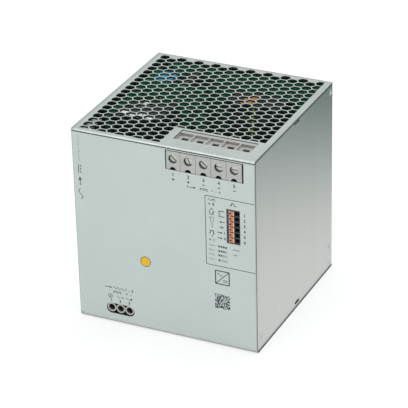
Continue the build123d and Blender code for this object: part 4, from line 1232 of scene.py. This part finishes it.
floor_paint = bpy.data.materials.new("floor_paint")
floor_paint.use_nodes = True
tree = floor_paint.node_tree
tree.nodes.clear()
rays = add_node(tree, "ShaderNodeLightPath").outputs
where = add_node(tree, "ShaderNodeNewGeometry").outputs
behind_or_right = vector_calc(tree, "MAXIMUM", where["Position"], (0, 0, -1))
away = vector_calc(tree, "LENGTH", behind_or_right)
pool = output_of(tree, "ShaderNodeMapRange", {"Value": away, "From Min": 0.08, "From Max": 0.44},
                 interpolation_type="SMOOTHSTEP")
near_enough = ramp(tree, parts_of(tree, where["Position"])["X"], 0.44, 0.3)  # far right, white again
half_size = (Vector((case_right, wall_face, case_top)) - Vector((case_left, foil_face, case_bottom))) / 2
from_unit = vector_calc(tree, "ABSOLUTE", vector_calc(tree, "SUBTRACT", where["Position"], case_middle))
x, y, z = parts_of(tree, vector_calc(tree, "SUBTRACT", from_unit, half_size))
# Painted shadow: the floor that reflections see is dark under the unit.
shadow_under_unit = ramp(tree, calc(tree, "MAXIMUM", x, y), 2 * MM, -2 * MM)
falling = blend(tree, calc(tree, "MULTIPLY", pool, near_enough), (1, 1, 1, 1), srgb(40, 94, 88))
reflected = output_of(tree, "ShaderNodeEmission", {
    "Color": blend(tree, shadow_under_unit, falling, srgb(104, 108, 106)), "Strength": 1.02})
matt = output_of(tree, "ShaderNodeBsdfDiffuse", {"Color": (0.95, 0.95, 0.95, 1)})
seen = output_of(tree, "ShaderNodeAddShader", {
    0: output_of(tree, "ShaderNodeBsdfDiffuse", {"Color": (0.42, 0.42, 0.42, 1)}),
    1: output_of(tree, "ShaderNodeEmission", {"Strength": 0.66})})


def choose_shader(tree, factor, first, second):
    """The first shader where factor is 0, the second where it is 1."""
    return output_of(tree, "ShaderNodeMixShader", {0: factor, 1: first, 2: second})


clear = calc(tree, "MAXIMUM", rays["Is Camera Ray"], rays["Is Transmission Ray"])
to_gloss = choose_shader(tree, rays["Is Glossy Ray"], choose_shader(tree, clear, matt, seen), reflected)
one_sided = choose_shader(tree, where["Backfacing"], to_gloss, output_of(tree, "ShaderNodeBsdfTransparent"))
add_node(tree, "ShaderNodeOutputMaterial", {"Surface": one_sided})
floor_mesh.materials.append(floor_paint)

# %% Sky
world = bpy.data.worlds.new("studio")
bpy.context.scene.world = world
world.use_nodes = True
tree = world.node_tree
tree.nodes.clear()
rays = add_node(tree, "ShaderNodeLightPath").outputs
soft = output_of(tree, "ShaderNodeBackground", {"Color": (0.93, 0.98, 1.0, 1), "Strength": 0.62})
glossy = output_of(tree, "ShaderNodeBackground", {"Color": (0.96, 0.99, 0.98, 1), "Strength": 0.9})
white = output_of(tree, "ShaderNodeBackground", {"Strength": 1.0})
clear = calc(tree, "MAXIMUM", rays["Is Camera Ray"], rays["Is Transmission Ray"])
to_gloss = choose_shader(tree, rays["Is Glossy Ray"], soft, glossy)
add_node(tree, "ShaderNodeOutputWorld", {"Surface": choose_shader(tree, clear, to_gloss, white)})


# %% Lamps
def soft_lamp(name, place, size, power):
    """A square area lamp that faces the unit's middle."""
    data = bpy.data.lights.new(name, "AREA")
    data.size, data.energy = size, power
    lamp = new_object(name, data)
    lamp.location = place
    lamp.rotation_euler = (case_middle - Vector(place)).to_track_quat("-Z", "Y").to_euler()


soft_lamp("key_lamp", (-0.9, -1.4, 1.25), 1.9, 12.2)
soft_lamp("fill_lamp", (1.5, -0.9, 0.5), 1.0, 5.0)
soft_lamp("top_lamp", (0.1, 0.5, 1.7), 0.9, 8.0)

# %% Colour transform
scene = bpy.context.scene
scene.view_settings.view_transform = "Standard"
